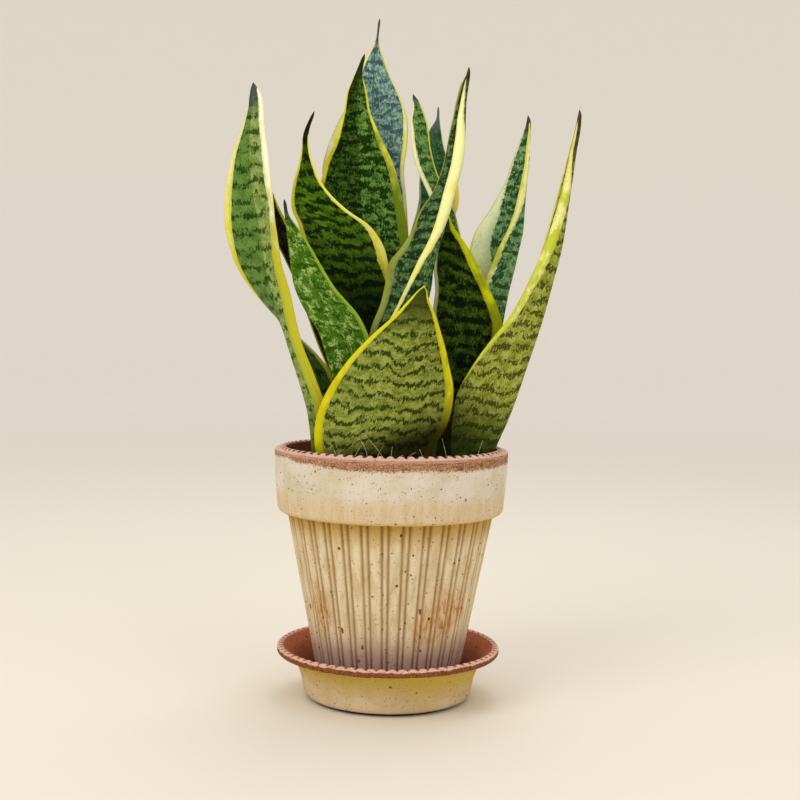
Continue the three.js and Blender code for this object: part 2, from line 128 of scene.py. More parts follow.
# %% [markdown]
# ## Helpers for meshes
# Each surface here closes round, as a tube does: a grid of points whose last column joins its first. Its two
# open ends are shut with one point in the middle. Blender's own shapes could be bent into the same pieces, but a
# grid says where each point is, and gives the finish numbers to work with, such as the distance to a margin.

# %% Grid to mesh
def grid_faces(rows, columns):
    """Quads between neighbouring points of a grid whose last column joins its first."""
    row, column = np.meshgrid(np.arange(rows - 1), np.arange(columns), indexing="ij")
    following = (column + 1) % columns
    corners = (row * columns + column, row * columns + following,
               (row + 1) * columns + following, (row + 1) * columns + column)
    return np.stack(corners, axis=-1).reshape(-1, 4)


def fan_faces(ring, middle):
    """Triangles from each edge of a ring of point numbers to one middle point."""
    return np.stack((ring, np.roll(ring, -1), np.full(len(ring), middle)), axis=-1)


def tube_faces(rows, columns):
    """The quads of a tube and a fan over each of its ends. Two middle points follow those of the grid: first
    the one of the first row, then the one of the last."""
    count = rows * columns
    first, last = np.arange(columns)[::-1], np.arange(count - columns, count)
    return [grid_faces(rows, columns), fan_faces(first, count), fan_faces(last, count + 1)]


def with_middles(values, first, last):
    """One number for each point of a tube: those of its grid, then those of its two middle points."""
    return np.concatenate((values.ravel(), (first, last)))


def circled(radius, height, angle):
    """Points at a radius, a height and an angle round the upright axis: (r cos a, r sin a, h)."""
    return np.dstack(np.broadcast_arrays(radius * np.cos(angle), radius * np.sin(angle), height))


# %% Mesh to piece
def make_piece(name, points, faces, measures=None):
    """A smooth mesh from points in millimetres and lists of faces, with one number per point for each measure."""
    mesh = bpy.data.meshes.new(name)
    mesh.from_pydata((points * MM).tolist(), [], [face for block in faces for face in block.tolist()])
    mesh.polygons.foreach_set("use_smooth", np.ones(len(mesh.polygons), bool))
    for label, values in (measures or {}).items():
        attribute = mesh.attributes.new(label, "FLOAT", "POINT")
        attribute.data.foreach_set("value", np.asarray(values, np.float32).ravel())
    mesh.update()
    piece = bpy.data.objects.new(name, mesh)
    bpy.context.scene.collection.objects.link(piece)
    print(f"{name}: {len(mesh.vertices)} points, {len(mesh.polygons)} faces")
    return piece


# %% Smooth numbers
def smooth_step(low, high, value):
    """0 below low, 1 above high, and an S-shaped rise between them."""
    t = np.clip((value - low) / (high - low), 0, 1)
    return t * t * (3 - 2 * t)


def waves(seed, *coordinates, count=6):
    """Smooth noise: a sum of sine waves with random directions and phases, divided by 1.4 times the root of
    their number, which keeps it between about -1 and 1."""
    draw = np.random.default_rng(seed)
    total = 0
    for _ in range(count):
        slopes = draw.normal(0, 1, len(coordinates))
        phase = draw.uniform(0, 2 * np.pi)
        total = total + np.sin(sum(s * c for s, c in zip(slopes, coordinates)) + phase)
    return total / math.sqrt(count) / 1.4


# %% [markdown]
# ## Helpers for finishes
# A finish is a network of nodes. Written out one by one, the nodes hide what is computed, so a small board
# gives the ones that are used here short names, and reads almost like arithmetic.

# %% A board for node networks
def srgb(red, green, blue):
    """A colour as a screen shows it, 0 to 255, turned into the linear numbers that light is computed with."""
    values = np.array((red, green, blue)) / 255
    linear = np.where(values <= 0.04045, values / 12.92, ((values + 0.055) / 1.055) ** 2.4)
    return (*linear.tolist(), 1.0)


class Board:
    """A node tree to draw on. Each value may be a number, a tuple or the output of another node."""

    def __init__(self, tree):
        self.tree = tree

    def fill(self, inputs, values):
        """Sets inputs, by name or number, to a value, or links them where the value is an output."""
        for key, value in values.items():
            if isinstance(value, bpy.types.NodeSocket):
                self.tree.links.new(value, inputs[key])
            else:
                inputs[key].default_value = value

    def put(self, kind, values, **settings):
        """Adds a node, sets it up and fills its inputs."""
        made = self.tree.nodes.new("ShaderNode" + kind)
        for key, setting in settings.items():
            setattr(made, key, setting)
        self.fill(made.inputs, values)
        return made

    def math(self, operation, a, b=0.0, c=0.0, clamp=False):
        """A sum, a product or another operation on up to three numbers, held between 0 and 1 by clamp."""
        return self.put("Math", {0: a, 1: b, 2: c}, operation=operation, use_clamp=clamp).outputs[0]

    def fade(self, value, low, high):
        """0 where the value is low, 1 where it is high, with a smooth change between."""
        values = {"Value": value, "From Min": low, "From Max": high}
        return self.put("MapRange", values, interpolation_type="SMOOTHSTEP").outputs[0]

    def mix(self, share, a, b, blend="MIX"):
        """Colour a where the share is 0 and colour b where it is 1."""
        return self.put("Mix", {0: share, 6: a, 7: b}, data_type="RGBA", blend_type=blend).outputs[2]

    def lay(self, colour, over, share, strength):
        """A colour with another laid over it, as much as the share times the strength."""
        return self.mix(self.math("MULTIPLY", share, strength), colour, over)

    def point(self, x, y, z):
        """A vector of three numbers."""
        return self.put("CombineXYZ", {0: x, 1: y, 2: z}).outputs[0]

    def scaled(self, vector, factors):
        """A vector with each of its three numbers multiplied by its own factor."""
        return self.put("VectorMath", {0: vector, 1: factors}, operation="MULTIPLY").outputs[0]

    def noise(self, vector, scale=1.0, detail=2.0, roughness=0.5):
        """Smooth noise, mostly between 0.3 and 0.7."""
        values = {"Vector": vector, "Scale": scale, "Detail": detail, "Roughness": roughness}
        return self.put("TexNoise", values).outputs[0]

    def measure(self, name):
        """A number that the mesh carries at each of its points."""
        return self.put("Attribute", {}, attribute_name=name).outputs["Fac"]

    def object_mm(self):
        """Where a point lies on the object, in millimetres."""
        return self.scaled(self.put("TexCoord", {}).outputs["Object"], (1000, 1000, 1000))

    def group(self, name, **values):
        """Places a node group and fills its inputs."""
        made = self.tree.nodes.new("ShaderNodeGroup")
        made.node_tree = bpy.data.node_groups[name]
        self.fill(made.inputs, values)
        return made.outputs


# %% Groups and materials
def new_group(name, inputs, outputs):
    """An empty node group, with the board to draw it on, its inputs and its outputs. The labels are given in
    one string each. Place is a vector, and every other socket is a number."""
    tree = bpy.data.node_groups.new(name, "ShaderNodeTree")
    for labels, way in ((inputs, "INPUT"), (outputs, "OUTPUT")):
        for label in labels.split():
            kind = "NodeSocketVector" if label == "Place" else "NodeSocketFloat"
            tree.interface.new_socket(label, in_out=way, socket_type=kind)
    entry = tree.nodes.new("NodeGroupInput")
    leave = tree.nodes.new("NodeGroupOutput")
    print(f"node group {name}: {inputs} -> {outputs}")
    return Board(tree), entry.outputs, leave.inputs


def new_material(name, **constants):
    """A material with one Principled shader: the board to draw on and the shader's inputs."""
    material = bpy.data.materials.new(name)
    material.use_nodes = True
    shader = material.node_tree.nodes["Principled BSDF"]
    for key, value in constants.items():
        shader.inputs[key.replace("_", " ")].default_value = value
    return material, Board(material.node_tree), shader.inputs


def connect(board, output, socket):
    """Links the output of a node to a socket."""
    board.tree.links.new(output, socket)


def add_bump(board, shader, height, strength, distance):
    """Tilts the shading as if the surface had this height, in millimetres times the distance."""
    values = {"Height": height, "Strength": strength, "Distance": distance * MM}
    connect(board, board.put("Bump", values).outputs[0], shader["Normal"])


# %% [markdown]
# ## Leaves: the shape
# A leaf of this plant is a stiff sword-shaped blade, folded along its middle. It could be modelled by bending
# a flat sheet, but then its outline is hard to control. Here each leaf is a short table of level sections
# from its foot to its tip, and smooth curves run through them.

# %% Sections of the thirteen leaves
# [height, x and y of the fold, length and direction of one half, length and direction of the other], in
# millimetres and degrees.
LEAVES = {
    "leaf_front": [
        [120, -13, -44, 29, 28, 22, 152], [137, -13, -46, 35.5, 28, 29, 152],
        [153, -12, -48, 40.5, 27, 35, 154], [167, -6, -49, 42, 26, 42, 154],
        [186, -1, -50, 39.5, 25, 39.5, 155], [204, 3, -51, 31, 24, 30, 156],
        [218, 8, -52, 21, 22, 21, 158], [230, 12.5, -53, 11.5, 20, 11.5, 160],
        [239, 14.5, -53, 5, 20, 5, 160], [246, 17, -53, 0.7, 20, 0.7, 160],
    ],
    "leaf_far_left": [
        [120, -43, -12, 9, -20, 16, 50], [150, -44.5, -14, 9.5, -20, 20, 45],
        [173, -47.5, -15, 10.5, -25, 22.5, 38], [190, -52.5, -15, 12, -42, 24, 40],
        [209, -59, -15, 13, -52, 24.5, 66], [223, -63.5, -15, 13, -53, 25, 95],
        [238, -68.5, -16, 14, -47, 26, 118], [256, -73.6, -17, 13.6, -46, 26.5, 138],
        [278, -77.5, -18, 13.5, -45, 25.7, 151], [297, -81.5, -18, 14.5, -40, 22.2, 148],
        [317, -84, -18, 13.5, -35, 16.4, 145], [340, -84, -18, 9, -30, 5.6, 145],
        [348, -83.8, -18, 8, -30, 2.6, 145], [355, -83.6, -18, 6, -30, 2, 145],
        [362.5, -83.5, -18, 0.7, -30, 0.7, 145],
    ],
    "leaf_hidden_left": [
        [120, -22, -9, 7, 184, 7, -4], [173, -26, -9, 7.5, 184, 7.5, -4],
        [194, -29.5, -9, 8, 184, 8, -4], [212, -36.5, -9, 8.5, 184, 9, -4],
        [230, -44, -8, 7.7, 184, 7.7, -4], [245, -50.6, -8, 6.5, 184, 6.5, -4],
        [261, -58.6, -8, 6.2, 184, 6.2, -4], [274, -65, -8, 6.2, 184, 6.2, -4],
        [287, -70.3, -8, 4.2, 184, 4.2, -4], [299, -74, -8, 2, 184, 2, -4],
        [310, -76.6, -8, 0.7, 184, 0.7, -4],
    ],
    "leaf_short": [
        [120, -20, -24, 9, 188, 9, -10], [174, -20, -24, 10, 188, 10, -10],
        [193, -23, -25, 12, 190, 12, -10], [207, -25.5, -25, 13.7, 190, 13.7, -10],
        [220, -29.5, -25, 14.4, 190, 14.4, -12], [230, -35.8, -25, 14.8, 190, 15, -12],
        [244, -45.4, -25, 12, 190, 12, -12], [259, -51.5, -24, 8.8, 190, 8.3, -12],
        [269, -55.7, -24, 5.9, 190, 6.5, -12], [279, -59.7, -24, 3.2, 190, 3.5, -12],
        [286, -62.7, -24, 1.2, 190, 1.2, -12], [295, -64.3, -24, 0.7, 190, 0.7, -12],
    ],
    "leaf_left": [
        [120, -8, 1, 11, 184, 11, -4], [193, -13.7, 3, 14, 184, 14, -4],
        [221, -19, 4, 17, 184, 17, -4], [245, -23.7, 5, 21, 185, 19.3, -5],
        [261, -27, 5, 24, 186, 23, -5], [273, -31.5, 6, 24, 186, 23.5, -5],
        [284, -37.7, 6, 21, 186, 21, -5], [291, -45, 6, 17, 186, 17.5, -5],
        [300, -50.6, 6, 12, 186, 12.6, -5], [309, -53.2, 6, 8, 186, 8, -5],
        [317, -54, 6, 5, 186, 5.4, -5], [326, -54.4, 6, 2.7, 186, 2.7, -5],
        [337, -54.4, 5, 1.5, 186, 1.5, -5], [350, -49.7, 4, 0.7, 186, 0.7, -5],
    ],
    "leaf_tall": [
        [120, 6, 10, 11, 183, 11, -3], [193, -4.2, 12, 15, 183, 15, -3],
        [227, -9, 13, 19, 183, 19, -3], [257, -14.5, 13, 24, 183, 24, -3],
        [281, -18.6, 14, 26, 183, 26, -3], [294, -20.6, 14, 27, 183, 25.5, -3],
        [310, -21.5, 14, 24, 184, 23, -3], [320, -22.3, 14, 20.7, 184, 20.7, -3],
        [336, -23.2, 13, 13.4, 184, 13.7, -3], [351, -24.4, 13, 8.2, 184, 8.2, -3],
        [365, -24.4, 12, 5.5, 184, 5.2, -3], [373, -23.9, 12, 2.4, 184, 2.4, -3],
        [386, -20.5, 12, 0.7, 184, 0.7, -3],
    ],
    "leaf_back": [
        [120, 0, 28, 12, 183, 12, -3], [227, -8.8, 30, 18, 183, 18, -3],
        [270, -14.5, 30, 23, 183, 23, -3], [301, -17.6, 30, 26, 183, 24, -3],
        [319, -17.9, 30, 28, 183, 22.5, -3], [338, -17, 30, 24, 183, 23.5, -3],
        [352, -16, 30, 18.6, 183, 21.6, -3], [365, -15.4, 30, 12, 183, 16, -3],
        [378, -15.3, 30, 8.7, 184, 9.5, -3], [388, -14.8, 30, 5.5, 184, 5.2, -3],
        [396, -13.7, 30, 1.4, 184, 1.4, -3], [411, -12.2, 30, 0.7, 184, 0.7, -3],
    ],
    "leaf_centre": [
        [120, 3, -20, 12, 160, 10, -130], [175, 6, -19, 20, 166, 15, -145],
        [200, 10, -18, 26, 168, 20, -150], [222, 14, -16, 28, 168, 21, -152],
        [236, 17, -14, 26, 166, 17, -150], [247, 19.2, -13, 26, 164, 15.4, -141],
        [261, 20.8, -12, 25.5, 162, 10.4, -137], [270, 23.2, -12, 21.5, 157, 7, -142],
        [280, 26.2, -12, 18.5, 153, 5.2, -146], [290, 29.5, -12, 18, 152, 5.6, -148],
        [304, 33.1, -12, 12.6, 150, 5.9, -148], [318, 36.6, -12, 10.9, 150, 5.8, -148],
        [334, 38.1, -12, 9.3, 150, 4.8, -148], [347, 38.3, -11, 6.7, 150, 3.5, -148],
        [356, 38.9, -10, 5.4, 150, 2.4, -148], [366, 40.3, -10, 3.7, 150, 1.6, -148],
        [370, 40.8, -10, 1.5, 150, 1.2, -148], [375, 41.2, -10, 0.7, 150, 0.7, -148],
    ],
    "leaf_far_right": [
        [120, 50, -9, 14, 120, 18, 197], [150, 58.5, -10, 22, 120, 25, 197],
        [171, 67, -10, 24, 122, 33, 197], [184, 71.5, -10, 25, 123, 35.5, 197],
        [196, 75.2, -10, 24.5, 124, 33.2, 197], [216, 81.7, -10, 22.7, 125, 26.2, 198],
        [229, 85.8, -9, 20, 126, 19.8, 199], [249, 91, -8, 16.3, 128, 14.2, 203],
        [268, 95.6, -8, 13.5, 130, 10.8, 206], [289, 98.8, -7, 9.7, 132, 7.1, 215],
        [307, 101.4, -7, 6.9, 134, 5.1, 220], [330, 104.5, -7, 3.5, 136, 3.5, 225],
        [340, 106.2, -7, 2.6, 136, 2.6, 225], [347, 106.8, -7, 1.6, 136, 1.6, 225],
        [352, 106.8, -7, 0.7, 136, 0.7, 225],
    ],
    "leaf_right_inner": [
        [120, 31, 2, 7, 176, 7, -4], [150, 35, 2, 10, 176, 10, -4],
        [179, 43, 2, 14, 176, 14, -4], [209, 46, 2, 19, 178, 18, -4],
        [224, 45.5, 2, 21, 182, 20, -4], [233, 44.4, 2, 21, 184, 18.6, -4],
        [245, 42.4, 2, 18, 184, 15.4, -4], [258, 38, 2, 14.6, 184, 12.8, -4],
        [271, 34.7, 2, 9.8, 184, 9, -4], [283, 31.8, 2, 3, 184, 3, -4],
        [292, 30.2, 2, 0.7, 184, 0.7, -4],
    ],
    "leaf_right": [
        [120, 46, 20, 12, 150, 9, -130], [180, 56, 20, 18, 156, 14, -140],
        [225, 64, 18, 20, 164, 18, -150], [246, 67.5, 18, 22, 166, 18, -150],
        [262, 71, 18, 25.8, 163, 16, -142], [270, 72.5, 18, 28.4, 160, 15, -138],
        [281, 74.3, 18, 27.8, 158, 12.4, -128], [297, 75.3, 18, 19.2, 152, 8.4, -116],
        [312, 77, 18, 12.6, 150, 5.2, -110], [325, 78.5, 18, 9.4, 150, 3.8, -107],
        [338, 79.1, 18, 5.2, 150, 2.2, -107], [344, 79.5, 18, 3.2, 150, 1.5, -108],
        [348, 79.5, 18, 1.7, 150, 1.1, -110], [352, 78.9, 18, 0.7, 150, 0.7, -110],
    ],
    "leaf_right_back": [
        [120, 37, 33, 8, 186, 8, -6], [239, 39.5, 32, 8, 186, 8, -6],
        [276, 34, 30, 7, 186, 7, -6], [304, 26, 28, 6, 188, 6, -8],
        [312, 21.7, 27, 5.6, 188, 5.6, -8], [322, 17.4, 26, 5.8, 188, 5.8, -8],
        [333, 14.7, 26, 5.8, 188, 5.8, -8], [343, 13.6, 26, 5.7, 188, 5.5, -8],
        [350, 12.5, 26, 4.9, 188, 4.9, -8], [358, 11.8, 26, 2.4, 188, 2.4, -8],
        [365, 9.2, 26, 0.7, 188, 0.7, -8],
    ],
    "leaf_centre_back": [
        [120, 4, 43, 8, 184, 8, -4], [200, 7, 43, 9, 184, 9, -4],
        [245, 9.5, 43, 9, 184, 9, -4], [262, 12.7, 42.5, 9.8, 184, 9.8, -4],
        [282, 20.8, 42, 11.5, 184, 11.5, -4], [302, 26.8, 41, 12.8, 184, 12.5, -4],
        [315, 26, 40, 11.8, 184, 11.6, -4], [324, 24.2, 40, 9, 184, 9.2, -4],
        [337, 23.3, 40, 5.5, 184, 5.5, -4], [345, 23.5, 40, 3.8, 184, 3.8, -4],
        [352, 24.9, 40, 1.1, 184, 1.1, -4], [360, 25.1, 40, 0.7, 184, 0.7, -4],
    ],
}
print("sections:", {name: len(rows) for name, rows in LEAVES.items()})


# %% Reach of the pale borders
# [height, width of the border on the first half, and on the other half], in millimetres.
BORDERS = {
    "leaf_front": [
        [150, 5.6, 6.5], [180, 6.2, 6.0], [205, 4.8, 5.0], [222, 3.4, 3.8], [236, 2.2, 2.6], [244, 0.8, 1.2],
    ],
    "leaf_far_left": [
        [190, 7, 3.8], [240, 7, 4], [265, 5.5, 4.6], [290, 3.4, 6], [310, 4.2, 5.2], [332, 3.2, 3.2],
        [345, 3.2, 0.9], [352, 2.8, 0.3], [357, 1.6, 0], [359.5, 0, 0],
    ],
    "leaf_hidden_left": [[170, 0.9, 1.8], [290, 0.9, 1.8], [300, 0, 0]],
    "leaf_short": [
        [170, 0.3, 2.6], [225, 0.3, 2.6], [250, 0.3, 2.2], [265, 0.3, 1.8], [280, 0.2, 0.8], [288, 0, 0],
    ],
    "leaf_left": [
        [193, 2.4, 0], [247, 2.6, 0], [255, 2.6, 3.6], [262, 2.6, 6.1], [275, 2.6, 5], [290, 2.4, 3.4],
        [305, 2, 2.4], [320, 1, 1.6], [332, 0.2, 0.8], [338, 0, 0],
    ],
    "leaf_tall": [
        [193, 3, 6], [290, 3, 5.6], [310, 2.6, 5.0], [330, 2.2, 3.7], [345, 1.6, 2.0], [358, 1.0, 1.2],
        [366, 0.6, 0.8], [374, 0, 0],
    ],
    "leaf_back": [
        [227, 4, 2.2], [300, 6, 2.4], [325, 7.5, 2.8], [340, 7.5, 3.4], [348, 7.2, 3], [357, 4.5, 1.4],
        [364, 2, 0.9], [375, 1.5, 0.8], [388, 2, 0.8], [394, 1, 0.7], [397.5, 0, 0],
    ],
    "leaf_centre": [
        [175, 4, 2], [236, 4.2, 2.2], [250, 4.8, 2.8], [262, 5, 3.8], [270, 4.4, 4.6], [277, 3, 5.4],
        [285, 1.4, 7], [298, 0.6, 8], [330, 0.5, 8], [342, 0.9, 4.4], [350, 1.2, 2.6], [358, 1.4, 1.6],
        [363, 1.6, 0.8], [367, 0.8, 0.2], [369, 0, 0],
    ],
    "leaf_far_right": [
        [150, 2, 0], [188, 1.4, 0], [203, 1.3, 1.6], [215, 1.3, 2.8], [227, 1.3, 4.2], [245, 1.3, 5],
        [270, 1.3, 6.4], [304, 1.2, 5.6], [316, 0.9, 3], [326, 0.7, 1.6], [338, 0.5, 0.8], [346, 0, 0],
    ],
    "leaf_right_inner": [
        [179, 2.2, 6.5], [224, 2.2, 6.4], [245, 2.2, 6], [265, 1.6, 5], [280, 1.2, 3.6], [288, 0, 1],
    ],
    "leaf_right": [
        [180, 8, 4], [250, 12, 4], [260, 13, 3.6], [270, 13.5, 3.4], [282, 11.5, 3.4], [290, 9.5, 4],
        [297, 6.5, 5], [303, 4.4, 6], [312, 1.8, 4.6], [325, 1.3, 3.4], [334, 1.2, 2.2], [341, 1, 1.4],
        [346, 0.4, 0.5], [348, 0, 0],
    ],
    "leaf_right_back": [
        [239, 2.4, 0.8], [300, 2.8, 0.8], [325, 3.2, 0.8], [345, 2.2, 0.9], [356, 1, 0.9], [362, 0, 0],
    ],
    "leaf_centre_back": [
        [200, 2.6, 3], [262, 2.6, 4], [285, 1.7, 4.4], [300, 1.5, 4.5], [312, 0.8, 3], [324, 0.6, 0.8],
        [345, 0.3, 0.4], [352, 0, 0],
    ],
}
print("border rows:", sum(len(rows) for rows in BORDERS.values()))


# %% Curves through a table
def curve_through(heights, values, at):
    """Cubic curves between the rows of a table, whose slope at each row is the weighted mean of both sides."""
    slopes = np.gradient(values, heights, axis=0)
    low = np.clip(np.searchsorted(heights, at, side="right") - 1, 0, len(heights) - 2)
    span = (heights[low + 1] - heights[low])[:, None]
    t = (at - heights[low])[:, None] / span
    return ((2 * t**3 - 3 * t**2 + 1) * values[low] + (t**3 - 2 * t**2 + t) * span * slopes[low]
            + (3 * t**2 - 2 * t**3) * values[low + 1] + (t**3 - t**2) * span * slopes[low + 1])


# %% From a table to a blade
# Sizes are in millimetres; roundness, flatness and crowding are plain numbers.
LEVELS, AROUND = 150, 52
EDGE_THICKNESS = 1.1
MIDDLE_THICKNESS = 2.6
FULL_WIDTH = 8  # a half this wide or wider has the whole middle thickness
LEAST_ARM = 0.6
TIP_LENGTH = 3.0
MARGIN_WAVE = 0.35
WAVE_LENGTH = 7
FOLD_ROUNDNESS = 0.35  # as a share of the half width
FACE_FLATNESS = 0.4
TIP_CROWDING = 1.25


def blade_line(rows):
    """Level by level: the height, the fold's place, the two arms, how far they are tapered at the tip, and how
    much of the full thickness there is. An arm is its length times the cosine and sine of its direction."""
    table = np.array(rows, float)
    height = table[0, 0] + (table[-1, 0] - table[0, 0]) * (1 - (1 - np.linspace(0, 1, LEVELS)) ** TIP_CROWDING)
    fold_x, fold_y, long_a, turn_a, long_b, turn_b = curve_through(table[:, 0], table[:, 1:], height).T
    taper = np.sqrt(np.clip((height[-1] - height + 0.1) / TIP_LENGTH, 0, 1))
    arms = []
    for length, turn in ((long_a, turn_a), (long_b, turn_b)):
        direction = np.stack((np.cos(np.radians(turn)), np.sin(np.radians(turn))), -1)
        arms.append((np.maximum(length, LEAST_ARM) * taper)[:, None] * direction)
    breadth = np.clip(np.minimum(long_a, long_b) / FULL_WIDTH, 0, 1)
    return height, np.stack((fold_x, fold_y), -1), arms, taper, breadth


def blade_grid(rows, seed):
    """Points of a blade. Across a level section, s runs from -1 to 1 and the middle line is the fold plus s
    times half the difference of the two arms plus a rounded |s| times half their sum. The two faces lie half
    the thickness to either side of it, and draw together at the margins, so that the margins are round."""
    height, fold, (arm_a, arm_b), taper, breadth = blade_line(rows)
    phase = 2 * np.pi * (np.arange(AROUND) + 0.5) / AROUND
    s = -np.cos(phase)
    full = math.hypot(1, FOLD_ROUNDNESS) - FOLD_ROUNDNESS
    rounded = (np.hypot(s, FOLD_ROUNDNESS) - FOLD_ROUNDNESS) / full
    turn = s / np.hypot(s, FOLD_ROUNDNESS) / full
    half, mean = ((arm_b - arm_a) / 2)[:, None], ((arm_b + arm_a) / 2)[:, None]
    place = fold[:, None] + s[:, None] * half + rounded[:, None] * mean
    along = half + turn[:, None] * mean
    along /= np.linalg.norm(along, axis=-1, keepdims=True) + 1e-9
    behind = np.stack((-along[..., 1], along[..., 0]), -1)
    thickness = EDGE_THICKNESS + (MIDDLE_THICKNESS - EDGE_THICKNESS) * breadth[:, None] * (1 - s**2)
    thickness = thickness * taper[:, None]
    face = -np.sign(np.sin(phase)) * np.abs(np.sin(phase)) ** FACE_FLATNESS
    wave = waves(seed, height[:, None] / WAVE_LENGTH, s[None] * 1.5)
    ripple = MARGIN_WAVE * np.abs(s) ** 3 * wave * taper[:, None]
    place = place + behind * (thickness / 2 * (1 + face) + ripple)[..., None]
    return np.dstack((place, np.repeat(height[:, None], AROUND, axis=1)))


# %% Numbers for the pattern
def blade_measures(points, border_rows):
    """Numbers for the pattern, at each point: millimetres across from the fold, along from the foot, in from
    each margin and down from the tip, the share of the way up, and how far in from each margin the pale border
    reaches, read from its own short table by height."""
    middle = (points[:, : AROUND // 2] + points[:, : AROUND // 2 - 1 : -1]) / 2
    steps = np.linalg.norm(np.diff(middle, axis=1), axis=-1)
    from_a = np.hstack((np.zeros((LEVELS, 1)), np.cumsum(steps, axis=1)))
    from_b = from_a[:, -1:] - from_a
    quarter = AROUND // 4
    across = from_a - (from_a[:, quarter - 1 : quarter] + from_a[:, quarter : quarter + 1]) / 2
    spine = (middle[:, quarter - 1] + middle[:, quarter]) / 2
    run = np.append(0, np.cumsum(np.linalg.norm(np.diff(spine, axis=0), axis=1)))

    def both(values):
        return np.hstack((values, values[:, ::-1]))

    def level(values):
        return np.repeat(values[:, None], AROUND, axis=1)

    table = np.array(border_rows)
    reach_a, reach_b = (np.interp(points[:, 0, 2], table[:, 0], table[:, column]) for column in (1, 2))
    return {
        "across": both(across), "margin_a": both(from_a), "margin_b": both(from_b),
        "along": level(run), "from_tip": level(run[-1] - run), "rise": level(run / run[-1]),
        "reach_a": level(reach_a), "reach_b": level(reach_b),
    }


# %% The thirteen leaves
def make_leaf(name, rows, seed):
    """A blade with its foot and its tip shut by a middle point each."""
    points = blade_grid(rows, seed)
    ends = np.array((points[0].mean(axis=0), points[-1].mean(axis=0)))
    measures = {label: with_middles(values, values[0].mean(), values[-1].mean())
                for label, values in blade_measures(points, BORDERS[name]).items()}
    points = np.vstack((points.reshape(-1, 3), ends))
    leaf = make_piece(name + "_blade", points, tube_faces(LEVELS, AROUND), measures)
    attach(leaf, "root")
    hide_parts(name)
    return leaf


leaves = {name: make_leaf(name, rows, seed) for seed, (name, rows) in enumerate(LEAVES.items(), start=11)}

# %% [markdown]
# ## Leaves: the pattern
# The green of each face is mottled, and darker bands cross it. The bands wander, and their edges are torn into
# short teeth along the leaf. Waves of the distance along the leaf make bands; moving that distance by a slow
# noise makes them wander, and moving it by a noise that changes fast across the leaf but slowly along it makes
# the teeth. A pale border follows each margin, so it is drawn from the distance to the margin. A painted picture
# on each blade could show the same, but it blurs up close, and one number makes this pattern new on each leaf.

# %% Leaf noise
def swing(board, noise, size):
    """A noise of 0 to 1 turned into a number that mostly stays between minus and plus the size."""
    return board.math("MULTIPLY", board.math("MULTIPLY_ADD", noise, 5.0, -2.5), size)


def leaf_noise(board, given, across_share, along_share, shift, detail=2.0, roughness=0.5):
    """Noise on the leaf, with its own fineness across and along, in turns per millimetre."""
    across = board.math("MULTIPLY", board.measure("across"), across_share)
    along = board.math("MULTIPLY", board.measure("along"), along_share)
    seed = board.math("ADD", given["Seed"], shift)
    return board.noise(board.point(across, along, seed), 1.0, detail, roughness)


# %% Node group: cross bands
# Order says how much of the pattern is regular bands; the rest is blotches that lie across the leaf. Dots break
# the bands' edges up, and lie in loose clouds between them.
board, given, result = new_group("Cross bands", "Seed Spacing Cover Wander Order Teeth Dots", "Band")
slow = swing(board, leaf_noise(board, given, 0.035, 0.018, 0.0), given["Wander"])
zigzag = swing(board, leaf_noise(board, given, 0.14, 0.04, 3.1), 2.2)
jitter = swing(board, leaf_noise(board, given, 0.6, 0.16, 9.7), 0.8)
moved = board.math("ADD", board.math("ADD", board.measure("along"), slow), board.math("ADD", zigzag, jitter))
turns = board.math("MULTIPLY", board.math("DIVIDE", moved, given["Spacing"]), 2 * math.pi)
regular = board.math("MULTIPLY", board.math("COSINE", turns), given["Order"])
blotches = swing(board, leaf_noise(board, given, 0.12, 0.28, 13.1, 3.0, 0.55), 1.4)
loose = board.math("MULTIPLY", blotches, board.math("SUBTRACT", 1.0, given["Order"]))
tooth_size = board.math("MULTIPLY", given["Teeth"], 0.4)
teeth = swing(board, leaf_noise(board, given, 1.1, 0.42, 7.3, 3.0, 0.65), tooth_size)
crest = board.math("ADD", board.math("ADD", regular, loose), teeth)
level = board.math("MULTIPLY_ADD", given["Cover"], -1.8, 0.9)
band = board.fade(crest, board.math("SUBTRACT", level, 0.16), board.math("ADD", level, 0.16))
grains = board.fade(leaf_noise(board, given, 2.3, 1.5, 31.3, 2.0, 0.7), 0.5, 0.6)
clouds = board.fade(leaf_noise(board, given, 0.07, 0.09, 41.9, 3.0), 0.42, 0.62)
dots = board.math("MULTIPLY", board.math("MULTIPLY", grains, clouds), given["Dots"])
connect(board, board.math("MAXIMUM", band, dots), result["Band"])

# %% Node group: mottle
board, given, result = new_group("Leaf mottle", "Seed Size Stretch Cover", "Mottle Grain")
across = board.math("DIVIDE", board.measure("across"), given["Size"])
along = board.math("DIVIDE", board.measure("along"), board.math("MULTIPLY", given["Size"], given["Stretch"]))
coarse = board.noise(board.point(across, along, given["Seed"]), 1.0, 4.0, 0.62)
fine = leaf_noise(board, given, 1.6, 0.9, 21.7, 3.0, 0.6)
both = board.math("MULTIPLY_ADD", board.math("SUBTRACT", fine, 0.5), 0.6, coarse)
level = board.math("MULTIPLY_ADD", given["Cover"], -0.4, 0.7)
mottle = board.fade(both, board.math("SUBTRACT", level, 0.1), board.math("ADD", level, 0.1))
connect(board, mottle, result["Mottle"])
connect(board, fine, result["Grain"])

